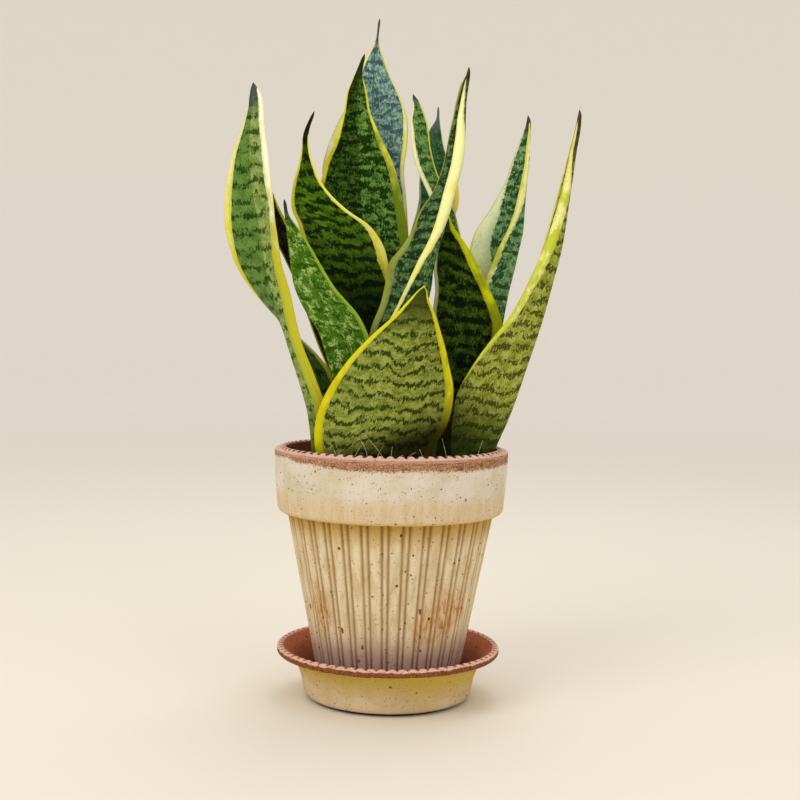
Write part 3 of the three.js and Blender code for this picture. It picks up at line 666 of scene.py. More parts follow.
# %% Node group: pale border
# Its inner edge is a little uneven. Below the change the border takes its deeper colour, in patches; thin green
# lines run along it, and green speckles lie on it in clouds.
board, given, result = new_group(
    "Leaf border", "Seed Patches Change Ragged", "Border Second Low Rim Depth Line Edge Speckle")
wobble = swing(board, leaf_noise(board, given, 0.0, 0.05, 3.3), 0.35)
notch_size = board.math("MULTIPLY", given["Ragged"], 0.3)
notches = swing(board, leaf_noise(board, given, 0.4, 0.4, 5.9, 3.0), notch_size)
uneven = board.math("ADD", wobble, notches)
sides, depths = [], []
for margin, reach in (("margin_a", "reach_a"), ("margin_b", "reach_b")):
    reach = board.measure(reach)
    held = board.math("MULTIPLY", uneven, board.math("MULTIPLY", reach, 0.3, clamp=True))
    inside = board.math("SUBTRACT", board.measure(margin), held)
    present = board.fade(reach, 0.02, 0.3)
    edge = board.fade(inside, board.math("ADD", reach, 0.3), board.math("SUBTRACT", reach, 0.3))
    sides.append(board.math("MULTIPLY", edge, present))
    depths.append(board.math("DIVIDE", inside, board.math("MAXIMUM", reach, 0.1)))
connect(board, board.math("MAXIMUM", *sides), result["Border"])
connect(board, board.math("GREATER_THAN", sides[1], sides[0]), result["Second"])
connect(board, board.math("MINIMUM", *depths), result["Depth"])
patch = swing(board, leaf_noise(board, given, 0.1, 0.06, 9.1, 4.0, 0.6), given["Patches"])
patchy_rise = board.math("ADD", board.measure("rise"), patch)
low = board.fade(patchy_rise, given["Change"], board.math("SUBTRACT", given["Change"], 0.27))
connect(board, low, result["Low"])
nearest = board.math("MINIMUM", board.measure("margin_a"), board.measure("margin_b"))
connect(board, board.fade(nearest, 1.3, 0.3), result["Edge"])
broken = board.fade(leaf_noise(board, given, 0.0, 0.09, 15.9, 3.0), 0.4, 0.6)
connect(board, board.math("MULTIPLY", board.fade(nearest, 0.7, 0.2), broken), result["Rim"])
lines = leaf_noise(board, given, 1.5, 0.012, 27.7, 2.0)
off_edge = board.fade(nearest, 0.8, 1.6)
connect(board, board.math("MULTIPLY", board.fade(lines, 0.56, 0.66), off_edge), result["Line"])
grains = board.fade(leaf_noise(board, given, 0.8, 0.5, 33.1, 3.0, 0.6), 0.48, 0.62)
clouds = board.fade(leaf_noise(board, given, 0.12, 0.1, 37.3), 0.4, 0.6)
connect(board, board.math("MULTIPLY", grains, clouds), result["Speckle"])

# %% [markdown]
# Each leaf has its own greens, with their shade painted into them: those in the shade of the others are painted
# nearly black, and those that face the sky are blue with wax. The table says what is seen on each one, and one
# function turns a row into a finish. Many leaves have one half darker than the other, so each half has a tint that
# multiplies its colours.

# %% Leaf finishes
# Colours as seen, with the shade among the leaves painted into them. Borders: first half above and below, other
# half above and below. Spacing, wander, size, tip and foot length in millimetres; foot is the colour at the foot,
# partly the leaf's own deeper green and partly painted shade; lean is how much farther up that painted shade
# reaches on the first half, and sink its share on the border; fold_shade is the share of a painted shade along the
# fold; change is how far up the border's colour changes; edge is a golden line along the margin; the rest are
# shares.
GOLD, PLAIN = srgb(190, 180, 14), srgb(255, 255, 255)
USUAL = dict(halves=(PLAIN, PLAIN), rim=0.0, patches=0.3, lean=0.0, fold_shade=0.0, dots=0.3, wander=4, teeth=1.8,
             change=0.72, ragged=1.0, lines=0.35, speckles=0.0, edge=0.0, sink=0.55, foot_end=0.35)
LOOKS = {
    "leaf_front": dict(
        light=srgb(150, 160, 74), dark=srgb(112, 122, 38), band=srgb(34, 52, 6), rim=0.2,
        borders=(srgb(212, 204, 30), srgb(178, 172, 14), srgb(220, 212, 40), srgb(204, 194, 10)),
        spacing=7.4, cover=0.27, order=0.74, size=5.0, stretch=0.7, mottle=0.5, dots=0.7,
        tip=srgb(50, 58, 6), tip_length=34, foot=srgb(22, 18, 6), foot_length=52,
        foot_end=0.5, lean=0.4, sink=0.9),
    "leaf_far_left": dict(
        light=srgb(148, 166, 94), dark=srgb(112, 136, 62), band=srgb(46, 70, 16),
        halves=(PLAIN, srgb(184, 216, 180)),
        borders=(srgb(255, 250, 216), srgb(190, 186, 44), srgb(240, 230, 150), srgb(216, 210, 60)),
        spacing=9.5, cover=0.28, order=0.6, size=6.0, stretch=1.0, mottle=0.5, fold_shade=0.35,
        patches=0.1, change=0.84, speckles=0.25, edge=0.25,
        tip=srgb(62, 74, 84), tip_length=22, foot=srgb(96, 106, 12), foot_length=60),
    # Painted shade: this leaf stands in the shadow of the others, so its greens are painted dark brown.
    "leaf_hidden_left": dict(
        light=srgb(52, 50, 20), dark=srgb(30, 28, 10), band=srgb(14, 12, 4), rim=0.2,
        borders=(GOLD, GOLD, srgb(210, 196, 60), GOLD),
        spacing=8.0, cover=0.4, order=0.4, size=5.0, stretch=1.5, mottle=0.4,
        tip=srgb(30, 26, 12), tip_length=12, foot=srgb(8, 10, 2), foot_length=90),
    "leaf_short": dict(
        light=srgb(164, 186, 100), dark=srgb(62, 106, 12), band=srgb(34, 74, 4),
        borders=(srgb(90, 112, 30), srgb(60, 84, 20), srgb(134, 164, 34), srgb(142, 166, 44)),
        spacing=10.0, cover=0.26, order=0.2, size=4.6, stretch=1.3, mottle=0.34, dots=0.4, speckles=0.4,
        tip=srgb(24, 54, 34), tip_length=22, foot=srgb(36, 56, 8), foot_length=60),
    "leaf_left": dict(
        light=srgb(100, 138, 26), dark=srgb(64, 102, 13), band=srgb(12, 30, 2),
        halves=(PLAIN, srgb(232, 236, 226)), rim=0.1,
        borders=(srgb(230, 222, 70), srgb(214, 206, 40), srgb(248, 242, 120), srgb(232, 224, 50)),
        spacing=8.5, cover=0.46, order=0.5, size=5.0, stretch=0.9, mottle=0.5,
        tip=srgb(22, 18, 4), tip_length=48, foot=srgb(2, 10, 1), foot_length=190, foot_end=0.55),
    "leaf_tall": dict(
        light=srgb(106, 144, 64), dark=srgb(54, 90, 20), band=srgb(10, 38, 0),
        halves=(srgb(166, 174, 130), PLAIN),
        borders=(srgb(228, 220, 70), GOLD, srgb(222, 218, 76), srgb(108, 128, 18)),
        spacing=7.5, cover=0.46, order=0.22, teeth=2.2, size=3.0, stretch=0.9, mottle=0.5, dots=0.5,
        change=0.93, patches=0.12, speckles=0.3,
        tip=srgb(32, 42, 4), tip_length=34, foot=srgb(4, 14, 1), foot_length=170),
    "leaf_back": dict(
        light=srgb(156, 194, 168), dark=srgb(94, 128, 128), band=srgb(58, 86, 92), fold_shade=0.7, edge=0.5,
        borders=(srgb(244, 242, 160), srgb(255, 254, 226), srgb(244, 240, 130), srgb(255, 252, 206)),
        spacing=14.0, cover=0.4, order=0.12, teeth=2.4, size=1.9, stretch=1.3, mottle=0.46, dots=0.5, lines=0.0,
        tip=srgb(84, 76, 44), tip_length=20, foot=srgb(50, 76, 66), foot_length=190),
    "leaf_centre": dict(
        light=srgb(108, 140, 86), dark=srgb(58, 92, 46), band=srgb(18, 44, 16), rim=0.2,
        borders=(srgb(142, 142, 56), srgb(150, 166, 76), srgb(248, 250, 178), srgb(246, 240, 130)),
        lines=0.0, edge=0.2,
        spacing=7.0, cover=0.44, order=0.25, teeth=2.2, size=2.6, stretch=1.5, mottle=0.48, dots=0.4,
        tip=srgb(50, 50, 24), tip_length=20, foot=srgb(14, 34, 10), foot_length=110),
    "leaf_far_right": dict(
        light=srgb(166, 174, 82), dark=srgb(126, 136, 40), band=srgb(68, 66, 12), rim=0.3,
        borders=(srgb(244, 240, 150), srgb(204, 212, 74), srgb(248, 244, 160), srgb(200, 210, 70)),
        spacing=8.0, cover=0.36, order=0.6, teeth=2.4, size=4.5, stretch=1.2, mottle=0.5,
        patches=0.45, change=0.8, lines=0.1, speckles=0.35, edge=0.3,
        tip=srgb(60, 50, 28), tip_length=50, foot=srgb(20, 44, 2), foot_length=72, lean=-0.4),
    # Painted shade: this leaf stands deep among the others, so its greens are painted nearly black.
    "leaf_right_inner": dict(
        light=srgb(70, 94, 18), dark=srgb(34, 54, 6), band=srgb(3, 14, 0),
        borders=(srgb(190, 196, 140), srgb(178, 186, 130), srgb(206, 208, 24), srgb(150, 160, 16)),
        spacing=10.0, cover=0.46, order=0.5, size=4.5, stretch=1.0, mottle=0.45, change=0.96,
        tip=srgb(30, 32, 10), tip_length=12, foot=srgb(76, 92, 16), foot_length=66),
    "leaf_right": dict(
        light=srgb(142, 180, 122), dark=srgb(84, 128, 80), band=srgb(34, 72, 36), rim=0.0,
        borders=(srgb(250, 255, 208), srgb(246, 255, 182), srgb(252, 250, 164), srgb(188, 198, 76)),
        spacing=6.5, cover=0.42, order=0.25, teeth=2.0, size=2.6, stretch=1.2, mottle=0.5, dots=0.5,
        ragged=3.0, lines=0.1, speckles=0.3, edge=0.6,
        tip=srgb(60, 62, 56), tip_length=15, foot=srgb(20, 44, 14), foot_length=130),
    "leaf_right_back": dict(
        light=srgb(126, 162, 92), dark=srgb(80, 118, 54), band=srgb(36, 70, 28), lines=0.0, edge=0.4,
        borders=(srgb(254, 252, 204), srgb(250, 246, 190), srgb(214, 210, 96), srgb(134, 128, 84)),
        spacing=7.0, cover=0.42, order=0.3, size=2.6, stretch=1.2, mottle=0.45, dots=0.5,
        tip=srgb(66, 66, 60), tip_length=9, foot=srgb(30, 50, 20), foot_length=130),
    "leaf_centre_back": dict(
        light=srgb(96, 136, 98), dark=srgb(54, 98, 64), band=srgb(34, 72, 48), change=0.6,
        borders=(srgb(186, 192, 140), srgb(236, 230, 140), srgb(246, 222, 110), srgb(240, 214, 90)),
        spacing=9.0, cover=0.3, order=0.2, size=1.8, stretch=1.3, mottle=0.35, dots=0.4,
        tip=srgb(104, 108, 112), tip_length=20, foot=srgb(12, 30, 16), foot_length=130),
}

# %% From a row to a finish
EDGE_BROWN = srgb(150, 104, 40)


def leaf_green(board, look, mottle, bands, foot):
    """The colour inside the borders: mottled green, then bands, the tint of each half, a painted shade along the
    fold, the foot's colour with its painted shade and the dark of the tip, each laid over the one before."""
    across = board.measure("across")
    green = board.mix(mottle["Mottle"], look["dark"], look["light"])
    green = board.lay(green, look["band"], bands["Band"], 0.94)
    green = board.mix(1.0, green, board.mix(board.fade(across, -0.8, 0.8), *look["halves"]), "MULTIPLY")
    # A painted shade along the fold, in the colour of the bands.
    fold = board.fade(board.math("ABSOLUTE", across), 0.7, 0.15)
    green = board.lay(green, look["band"], fold, look["fold_shade"])
    # The foot's colour: partly the leaf's own, partly painted shade among the leaves and under the rim.
    green = board.lay(green, look["foot"], foot, 0.9)
    tip = board.fade(board.measure("from_tip"), look["tip_length"], look["tip_length"] * 0.25)
    return board.lay(green, look["tip"], tip, 0.92)


def leaf_pale(board, look, border, foot):
    """The colour of the borders: two pale colours on each half, green towards the inner edge and in thin
    lines, speckles, a golden edge and the painted shade of the foot."""
    above_a, below_a, above_b, below_b = look["borders"]
    pale = board.mix(border["Second"], board.mix(border["Low"], above_a, below_a),
                     board.mix(border["Low"], above_b, below_b))
    inward = board.math("MULTIPLY", board.fade(border["Depth"], 0.45, 1.05), 0.35)
    lines = board.math("MULTIPLY", border["Line"], look["lines"])
    pale = board.mix(board.math("MAXIMUM", inward, lines), pale, look["dark"])
    pale = board.lay(pale, look["light"], border["Speckle"], look["speckles"])
    pale = board.lay(pale, GOLD, border["Edge"], look["edge"])
    # The painted shade of the foot, laid on the border too.
    return board.lay(pale, look["foot"], foot, look["sink"])


def leaf_finish(name, look, seed):
    """Green with pale borders, a brown rim in places, and a satin surface in which the bands lie lower."""
    look = USUAL | look
    material, board, shader = new_material(name + "_finish", Specular_IOR_Level=0.04)
    mottle = board.group("Leaf mottle", Seed=seed, Size=look["size"], Stretch=look["stretch"], Cover=look["mottle"])
    bands = board.group("Cross bands", Seed=seed, Spacing=look["spacing"], Cover=look["cover"], Dots=look["dots"],
                        Wander=look["wander"], Order=look["order"], Teeth=look["teeth"])
    border = board.group("Leaf border", Seed=seed, Patches=look["patches"], Change=look["change"],
                         Ragged=look["ragged"])
    # How far up the foot's painted shade reaches, farther on one half by the lean.
    leaning = board.math("MULTIPLY_ADD", board.measure("across"), look["lean"], board.measure("along"))
    foot = board.fade(leaning, look["foot_length"], look["foot_length"] * look["foot_end"])
    green = leaf_green(board, look, mottle, bands, foot)
    colour = board.mix(border["Border"], green, leaf_pale(board, look, border, foot))
    connect(board, board.lay(colour, EDGE_BROWN, border["Rim"], look["rim"]), shader["Base Color"])
    connect(board, board.math("MULTIPLY_ADD", mottle["Grain"], 0.25, 0.38), shader["Roughness"])
    add_bump(board, shader, board.math("MULTIPLY_ADD", bands["Band"], -0.3, mottle["Grain"]), 0.35, 0.25)
    return material


for seed, (name, leaf) in enumerate(leaves.items()):
    leaf.data.materials.append(leaf_finish(name, LOOKS[name], seed * 17.0 + 3))
print("leaf finishes:", len(LOOKS))

# %% [markdown]
# ## Pot and saucer: the shape
# Both are turned on a wheel, so one profile makes each. Its corners are rounded, because fired clay has no
# sharp edges. A Screw modifier could turn the profile too, but what isn't round would have to be cut in
# afterwards. Here it comes in as small moves along the radius and the height: the pressed grooves of the body,
# the beads on the rim and a little unevenness.

# %% Profiles
ARC_POINTS = 4


def rounded_profile(corners, step):
    """Points along a path of [radius, height, rounding] corners. Each corner becomes a quarter curve
    (1 - t)^2 a + 2 t (1 - t) corner + t^2 b between the places a and b where its rounding begins and ends."""

    def straight(start, end):
        """Evenly spaced points between two places, without the places themselves."""
        share = np.linspace(0, 1, max(int(np.linalg.norm(start - end) / step), 1), endpoint=False)[1:, None]
        return start * (1 - share) + end * share

    corners = np.array(corners, float)
    place, rounding = corners[:, :2], corners[:, 2:]
    toward = np.diff(place, axis=0)
    toward /= np.linalg.norm(toward, axis=1, keepdims=True)
    before, after = place[1:-1] - toward[:-1] * rounding[1:-1], place[1:-1] + toward[1:] * rounding[1:-1]
    t = np.linspace(0, 1, ARC_POINTS)[:, None]
    path = [place[:1]]
    for start, corner, end in zip(before, place[1:-1], after):
        path += [straight(path[-1][-1], start), (1 - t) ** 2 * start + 2 * t * (1 - t) * corner + t**2 * end]
    return np.vstack(path + [straight(path[-1][-1], place[-1]), place[-1:]])


def bead_ring(angle, radius, height, count, circle, half_width, level, base, rise):
    """Beads on top of a rim, in three numbers: how far up the rim's round back a point is, 1 on the beads'
    circle and less to either side of it, as on an arc; that times how far up a bead it is, the size of a
    cosine raised to a power that makes the notches narrow; and the height that both add."""
    back = np.sqrt(np.clip(1 - ((radius - circle) / half_width) ** 2, 0, 1)) * (height > level)
    bead = np.abs(np.cos(angle * count / 2)) ** 0.9
    return back, bead * back, back * (base + rise * bead)


# %% [markdown]
# The pot's body has a wide and a narrow rib in turn, with a pressed groove to each side. The columns of the
# grid crowd at the grooves, and stand evenly on the plain band above, so that its beads are all alike.

# %% Pot
POT_PROFILE = [
    [6.4, 6.3, 0], [39.5, 6.3, 0.6], [41.5, 7.2, 0.7], [61.9, 111.9, 0.3], [66.3, 112.5, 0.9],
    [67.8, 114.3, 1.2], [69.5, 134, 3], [70, 149.2, 0.8], [68.9, 150, 0.4], [67, 150, 0.3], [65, 150, 1.3],
    [63.2, 150, 0.3], [62.8, 146.5, 0.8], [61.2, 134, 2], [55.8, 108, 3], [36.7, 12.3, 2], [6.4, 12.3, 0.5],
    [6, 11.8, 0.3], [6, 6.8, 0.3], [6.4, 6.3, 0],
]
POT_STEP = 6
SHOULDER_Z = 112
FLUTES = 32
FLUTE_DEPTH = 1.0
GROOVES = np.array((0.66, 0.98))  # where the two grooves of a flute lie, and their width, as shares of it
GROOVE_WIDTH = 0.075
POT_BEADS = dict(count=72, circle=65, half_width=1.9, level=149.9, base=0.1, rise=1.15)
POT_UNEVEN = 0.12

near_groove = np.linspace(-0.09, 0.09, 9)
shares = np.sort(np.concatenate((GROOVES[0] + near_groove, GROOVES[1] + near_groove,
                                 np.linspace(0.12, 0.52, 6), np.linspace(0.78, 0.86, 3))))
columns = len(shares) * FLUTES
even = 2 * np.pi * np.arange(columns) / columns
crowded = (np.arange(FLUTES)[:, None] + shares).ravel() * 2 * np.pi / FLUTES
print("columns of a flute:", len(shares))

# %% Pot: its points
profile = rounded_profile(POT_PROFILE, POT_STEP)[:-1]
rows = len(profile)
radius, height = profile[:, :1], profile[:, 1:]
outside = np.arange(rows)[:, None] < np.argmax(height >= 149.99)
fluted = smooth_step(8, 11, height) * smooth_step(SHOULDER_Z + 0.1, SHOULDER_Z - 0.3, height) * outside
crowding = smooth_step(118, 113, height) * outside
angle = even * (1 - crowding) + crowded * crowding
groove_share = ((angle * FLUTES / (2 * np.pi))[..., None] - GROOVES + 0.5) % 1 - 0.5
groove = np.exp(-((groove_share / GROOVE_WIDTH) ** 2)).sum(axis=-1) * fluted
uneven = waves(3, np.cos(angle) * 3, np.sin(angle) * 3, height / 18, count=8)
pot_radius = radius - groove * FLUTE_DEPTH + POT_UNEVEN * (uneven - 1) * outside * (height > 10)
rim, bead, rise = bead_ring(angle, radius, height, **POT_BEADS)
inside = 1.0 * ((radius < 63.3) & ~outside) + 0 * angle
closed_faces = grid_faces(rows + 1, columns) % (rows * columns)  # the last row joins the first
pot = make_piece("pot_body", circled(pot_radius, height + rise, angle).reshape(-1, 3), [closed_faces],
                 {"groove": groove, "bead": bead, "rim": rim + 0 * angle, "inside": inside})
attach(pot, "root")
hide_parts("pot")

# %% [markdown]
# The saucer is turned and beaded in the same way, without grooves. A middle point shuts its foot and another one
# its floor.

# %% Saucer
SAUCER_PROFILE = [
    [1.5, 0, 0], [45.5, 0, 0.5], [46, 1.5, 0.4], [49, 1.7, 0.7], [50.6, 4, 1.2], [52.4, 14, 3], [57.2, 25, 1.2],
    [65.8, 26.8, 0.8], [67, 28, 0.6], [67, 30.6, 0.4], [66.4, 31, 0.3], [64.9, 31, 0.9], [63, 30.9, 0.5],
    [57, 26, 3], [50.6, 15, 3], [47, 7.5, 1.2], [45, 6, 1], [1.5, 6, 0],
]
SAUCER_STEP = 1.9
SAUCER_COLUMNS = 700
SAUCER_BEADS = dict(count=70, circle=64.9, half_width=1.6, level=30, base=0.1, rise=0.8)
SAUCER_UNEVEN = 0.1

profile = rounded_profile(SAUCER_PROFILE, SAUCER_STEP)
rows = len(profile)
radius, height = profile[:, :1], profile[:, 1:]
angle = 2 * np.pi * np.arange(SAUCER_COLUMNS) / SAUCER_COLUMNS
uneven = waves(5, np.cos(angle) * 3, np.sin(angle) * 3, height / 9, count=8)
saucer_radius = radius + SAUCER_UNEVEN * (uneven - 1) * smooth_step(2, 6, height) * (radius > 48)
rim, bead, rise = bead_ring(angle, radius, height, **SAUCER_BEADS)
inside = 1.0 * (np.arange(rows)[:, None] > np.argmax(height >= 30.95)) * (radius < 63.2) + 0 * angle
saucer_points = circled(saucer_radius, height + rise, angle).reshape(-1, 3)
middles = np.array(((0, 0, 0), (0, 0, SAUCER_PROFILE[-1][1])))
saucer = make_piece("saucer_body", np.vstack((saucer_points, middles)), tube_faces(rows, SAUCER_COLUMNS), {
    "bead": with_middles(bead, 0, 0), "rim": with_middles(rim + 0 * angle, 0, 0),
    "inside": with_middles(inside, 0, 1)})
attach(saucer, "root")
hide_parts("saucer")

# %% [markdown]
# ## Pot and saucer: the clay
# Fired clay with a thin wash of lime: warm terracotta where it is worn, chalk white where the wash is thick,
# cream between. Iron in the clay burns out as small dark specks. The wash runs, so it is streaked downwards. It
# could be painted on by hand, but noise drawn out along the height does it all round, and the same two node
# groups serve both pieces. The grooves and the ribs under the shoulder are darkened as painted shade.

# %% Node group: iron specks
# One round speck in each cell of a Voronoi pattern, larger or smaller by chance. The place is bent by a noise
# first, so that no speck is quite round. Cell and radius are in millimetres.
board, given, result = new_group("Clay specks", "Place Cell Radius", "Speck")
warp = board.put("TexNoise", {"Vector": given["Place"], "Scale": 0.9, "Detail": 1.0}).outputs[1]
bend = {0: warp, 1: (0.8, 0.8, 0.8), 2: given["Place"]}
bent = board.put("VectorMath", bend, operation="MULTIPLY_ADD").outputs[0]
cell = board.put("TexVoronoi", {"Vector": bent, "Scale": board.math("DIVIDE", 1.0, given["Cell"])}).outputs
chance = board.put("SeparateColor", {0: cell["Color"]}).outputs
distance = board.math("MULTIPLY", cell["Distance"], given["Cell"])
reach = board.math("MULTIPLY", given["Radius"], board.math("MULTIPLY_ADD", chance[1], 0.8, 0.5))
speck = board.fade(distance, reach, board.math("MULTIPLY", reach, 0.7))
connect(board, board.math("MULTIPLY", speck, board.math("MULTIPLY_ADD", chance[0], 0.4, 0.65)), result["Speck"])

# %% Node group: lime wash
# Clouds, streaks down the wall, grain, scratches round it, and a shift in height that changes round the wall.
board, given, result = new_group("Lime wash", "Place", "Cloud Streak Grain Scratch Shift")
connect(board, board.noise(given["Place"], 0.05, 4.0, 0.6), result["Cloud"])
connect(board, board.noise(board.scaled(given["Place"], (0.3, 0.3, 0.04)), 1.0, 3.0, 0.55), result["Streak"])
connect(board, board.noise(given["Place"], 1.6, 4.0, 0.65), result["Grain"])
lines = board.noise(board.scaled(given["Place"], (0.09, 0.09, 1.5)), 1.0, 3.0, 0.6)
connect(board, board.fade(lines, 0.54, 0.66), result["Scratch"])
shift = board.noise(board.scaled(given["Place"], (0.05, 0.05, 0.0)), 1.0, 3.0, 0.55)
connect(board, board.math("MULTIPLY_ADD", shift, 10.0, -5.0), result["Shift"])

# %% Clay finishes
PIT_BROWN, SPECK_BROWN, CHIP_BROWN = srgb(118, 80, 34), srgb(76, 46, 12), srgb(134, 66, 30)
SPECK_SIZES = ((0.8, 0.19), (1.9, 0.32), (4.4, 0.56), (8.5, 1.0))  # cell and radius of pits and of three specks


def speck_masks(board, place):
    """Fine pits; and dark specks of three sizes, which are rarer the larger they are."""
    pits, small, common, large = (board.group("Clay specks", Place=place, Cell=cell, Radius=radius)["Speck"]
                                  for cell, radius in SPECK_SIZES)
    return pits, board.math("MAXIMUM", board.math("MAXIMUM", common, large), board.math("MULTIPLY", small, 0.8))


def spot(board, place, centre, reach, uneven, stretch=2.0):
    """A stain: 1 at its centre, fading to 0 at about its reach, with a ragged edge. It is longer in height."""
    flat = board.scaled(place, (1, 1, 1 / stretch))
    centre = (centre[0], centre[1], centre[2] / stretch)
    distance = board.put("VectorMath", {0: flat, 1: centre}, operation="DISTANCE").outputs["Value"]
    ragged = board.math("MULTIPLY_ADD", uneven, -reach, board.math("ADD", distance, reach * 0.5))
    return board.fade(ragged, reach, reach * 0.2)


def beaded_edge(board, wash, light, dark, notch_shade, low, high):
    """The clay of a beaded edge: grainy, with painted shade in the notches, where the back is up but the beads are
    not.
    """
    edge = board.mix(board.fade(wash["Grain"], 0.35, 0.6), light, dark)
    notch = board.math("SUBTRACT", board.measure("rim"), board.measure("bead"))
    return board.mix(board.fade(notch, low, high), edge, notch_shade)


def finish_clay(board, shader, place, colour, grain):
    """Pits and specks laid over a colour and pressed into the surface, and a dry uneven sheen."""
    pits, specks = speck_masks(board, place)
    colour = board.lay(colour, PIT_BROWN, pits, 0.6)
    colour = board.mix(specks, colour, SPECK_BROWN)
    connect(board, colour, shader["Base Color"])
    connect(board, board.math("MULTIPLY_ADD", grain, 0.2, 0.75), shader["Roughness"])
    holes = board.math("ADD", board.math("MULTIPLY", pits, -0.8), board.math("MULTIPLY", specks, -1.0))
    add_bump(board, shader, board.math("ADD", holes, grain), 0.45, 0.25)


# %% Pot: the fluted body
# Ribs from the top down: a painted ochre shadow under the shoulder, cream, rusty stains at the sides, a mauve
# foot. Then the grooves, darkened as painted shade, more so under the shoulder and towards the foot, and three
# chips.
STAINS = (((-40, -33.6, 56), 12), ((21, -46, 50), 9), ((31, -40, 58), 12), ((39, -32, 62), 9))
CHIPS = ((18.6, -48.6, 61), (-26.2, -42, 48), (-45.8, -23.3, 58))

material, board, shader = new_material("pot_finish", Specular_IOR_Level=0.2)
place = board.object_mm()
x, _, z = board.put("SeparateXYZ", {0: place}).outputs
wash = board.group("Lime wash", Place=place)
wavy_z = board.math("ADD", z, wash["Shift"])
rib = board.mix(board.fade(wash["Streak"], 0.35, 0.65), srgb(226, 210, 176), srgb(208, 186, 144))
# Painted shadow of the band's overhang on the ribs under it, in ochre.
rib = board.lay(rib, srgb(188, 150, 66), board.fade(wavy_z, 95, 111), 0.9)
drips = board.fade(board.noise(board.scaled(place, (0.9, 0.9, 0.05)), 1.0, 3.0, 0.6), 0.42, 0.62)
for centre, reach in STAINS:
    stain = spot(board, place, centre, reach, wash["Streak"])
    rib = board.lay(rib, srgb(214, 158, 84), stain, 0.35)
    rib = board.lay(rib, srgb(176, 104, 36), board.math("MULTIPLY", stain, drips), 0.8)
foot = board.mix(board.fade(z, 30, 12), srgb(182, 154, 142), srgb(140, 106, 96))
rib = board.mix(board.fade(wavy_z, 50, 30), rib, foot)
# Painted shade in the grooves: darker towards the foot and under the shoulder.
groove_shade = board.mix(board.fade(z, 44, 20), srgb(158, 122, 62), srgb(104, 60, 38))
groove_shade = board.mix(board.fade(wavy_z, 92, 110), groove_shade, srgb(132, 92, 34))
groove = board.math("MULTIPLY", board.measure("groove"), board.math("MULTIPLY_ADD", wash["Cloud"], 0.5, 0.55))
body = board.mix(groove, rib, groove_shade)
for centre in CHIPS:
    chip = board.fade(spot(board, place, centre, 1.6, wash["Grain"], 1.9), 0.3, 0.6)
    body = board.mix(chip, body, CHIP_BROWN)
print("body:", len(STAINS), "stains and", len(CHIPS), "chips")

# %% Pot: the band and the rim
# The band from its lower edge up: cream, then chalk; above it the worn zone, whose lower edge is ragged and lies
# higher at the left; then the lip with its beads. The inside is bare clay.
cream = board.mix(board.fade(wash["Streak"], 0.35, 0.7), srgb(216, 196, 160), srgb(208, 184, 144))
chalk = board.mix(board.fade(wash["Cloud"], 0.35, 0.65), srgb(208, 196, 168), srgb(222, 210, 196))
band = board.mix(board.fade(wavy_z, 121, 130), cream, chalk)
band = board.lay(band, srgb(222, 184, 108), board.fade(z, 114.4, 113), 0.8)
colour = board.mix(board.fade(z, SHOULDER_Z, SHOULDER_Z + 0.2), body, band)
crumbly = board.noise(place, 0.9, 4.0, 0.8)
worn = board.mix(board.fade(crumbly, 0.38, 0.6), srgb(198, 150, 120), srgb(136, 88, 58))
worn = board.lay(worn, srgb(206, 162, 138), board.fade(z, 147, 148.6), 0.5)
worn = board.lay(worn, srgb(100, 58, 34), wash["Scratch"], 0.85)
ragged = board.math("MULTIPLY_ADD", crumbly, 7.0, board.math("MULTIPLY_ADD", wash["Shift"], 0.4, z))
thinner = board.math("MULTIPLY_ADD", board.fade(x, -25, -68), -3.4, ragged)
colour = board.mix(board.fade(thinner, 145.8, 147.4), colour, worn)
# Painted shade in the notches between the beads.
lip = beaded_edge(board, wash, srgb(236, 206, 192), srgb(212, 166, 144), srgb(108, 56, 38), 0.06, 0.4)
colour = board.mix(board.fade(z, 148.9, 149.6), colour, lip)
bare = board.mix(board.fade(wash["Cloud"], 0.3, 0.7), srgb(136, 72, 38), srgb(108, 52, 26))
colour = board.mix(board.measure("inside"), colour, bare)
finish_clay(board, shader, place, colour, wash["Grain"])
pot.data.materials.append(material)

# %% Saucer: its finish
# The wall is cream below; towards the lip it turns yellow, more so at the right, partly its own colour and partly
# painted yellow reflected light and shade under the lip, and at the very bottom it is painted dark as a contact
# shadow. The lip's side is bare clay, its beaded edge paler with painted shade in its notches, and the dish inside
# is bare clay again, darker towards its floor as painted shade.
material, board, shader = new_material("saucer_finish", Specular_IOR_Level=0.2)
place = board.object_mm()
x, _, z = board.put("SeparateXYZ", {0: place}).outputs
wash = board.group("Lime wash", Place=place)
wall = board.mix(board.fade(wash["Cloud"], 0.35, 0.65), srgb(212, 190, 154), srgb(198, 172, 130))
# Painted yellow reflected light and shade under the lip, higher towards the right; partly the wall's own tint.
yellow_light_height = board.math("MULTIPLY_ADD", x, 0.05, board.math("ADD", z, wash["Shift"]))
wall = board.lay(wall, srgb(196, 168, 68), board.fade(yellow_light_height, 6, 23), 0.9)
# Painted contact shadow at the foot of the wall.
wall = board.mix(board.fade(z, 2.6, 1.7), wall, srgb(58, 36, 20))
side = board.mix(board.fade(wash["Grain"], 0.38, 0.6), srgb(158, 94, 52), srgb(96, 50, 26))
wavy_side = board.math("MULTIPLY_ADD", board.math("SUBTRACT", wash["Streak"], 0.5), 2.4, z)
colour = board.mix(board.fade(wavy_side, 26.9, 27.5), wall, side)
# Painted shade in the notches between the beads.
edge = beaded_edge(board, wash, srgb(238, 200, 180), srgb(210, 156, 134), srgb(124, 66, 46), 0.2, 0.75)
colour = board.mix(board.fade(wavy_side, 30.0, 30.6), colour, edge)
dish = board.mix(board.fade(wash["Grain"], 0.36, 0.6), srgb(200, 120, 84), srgb(152, 78, 46))
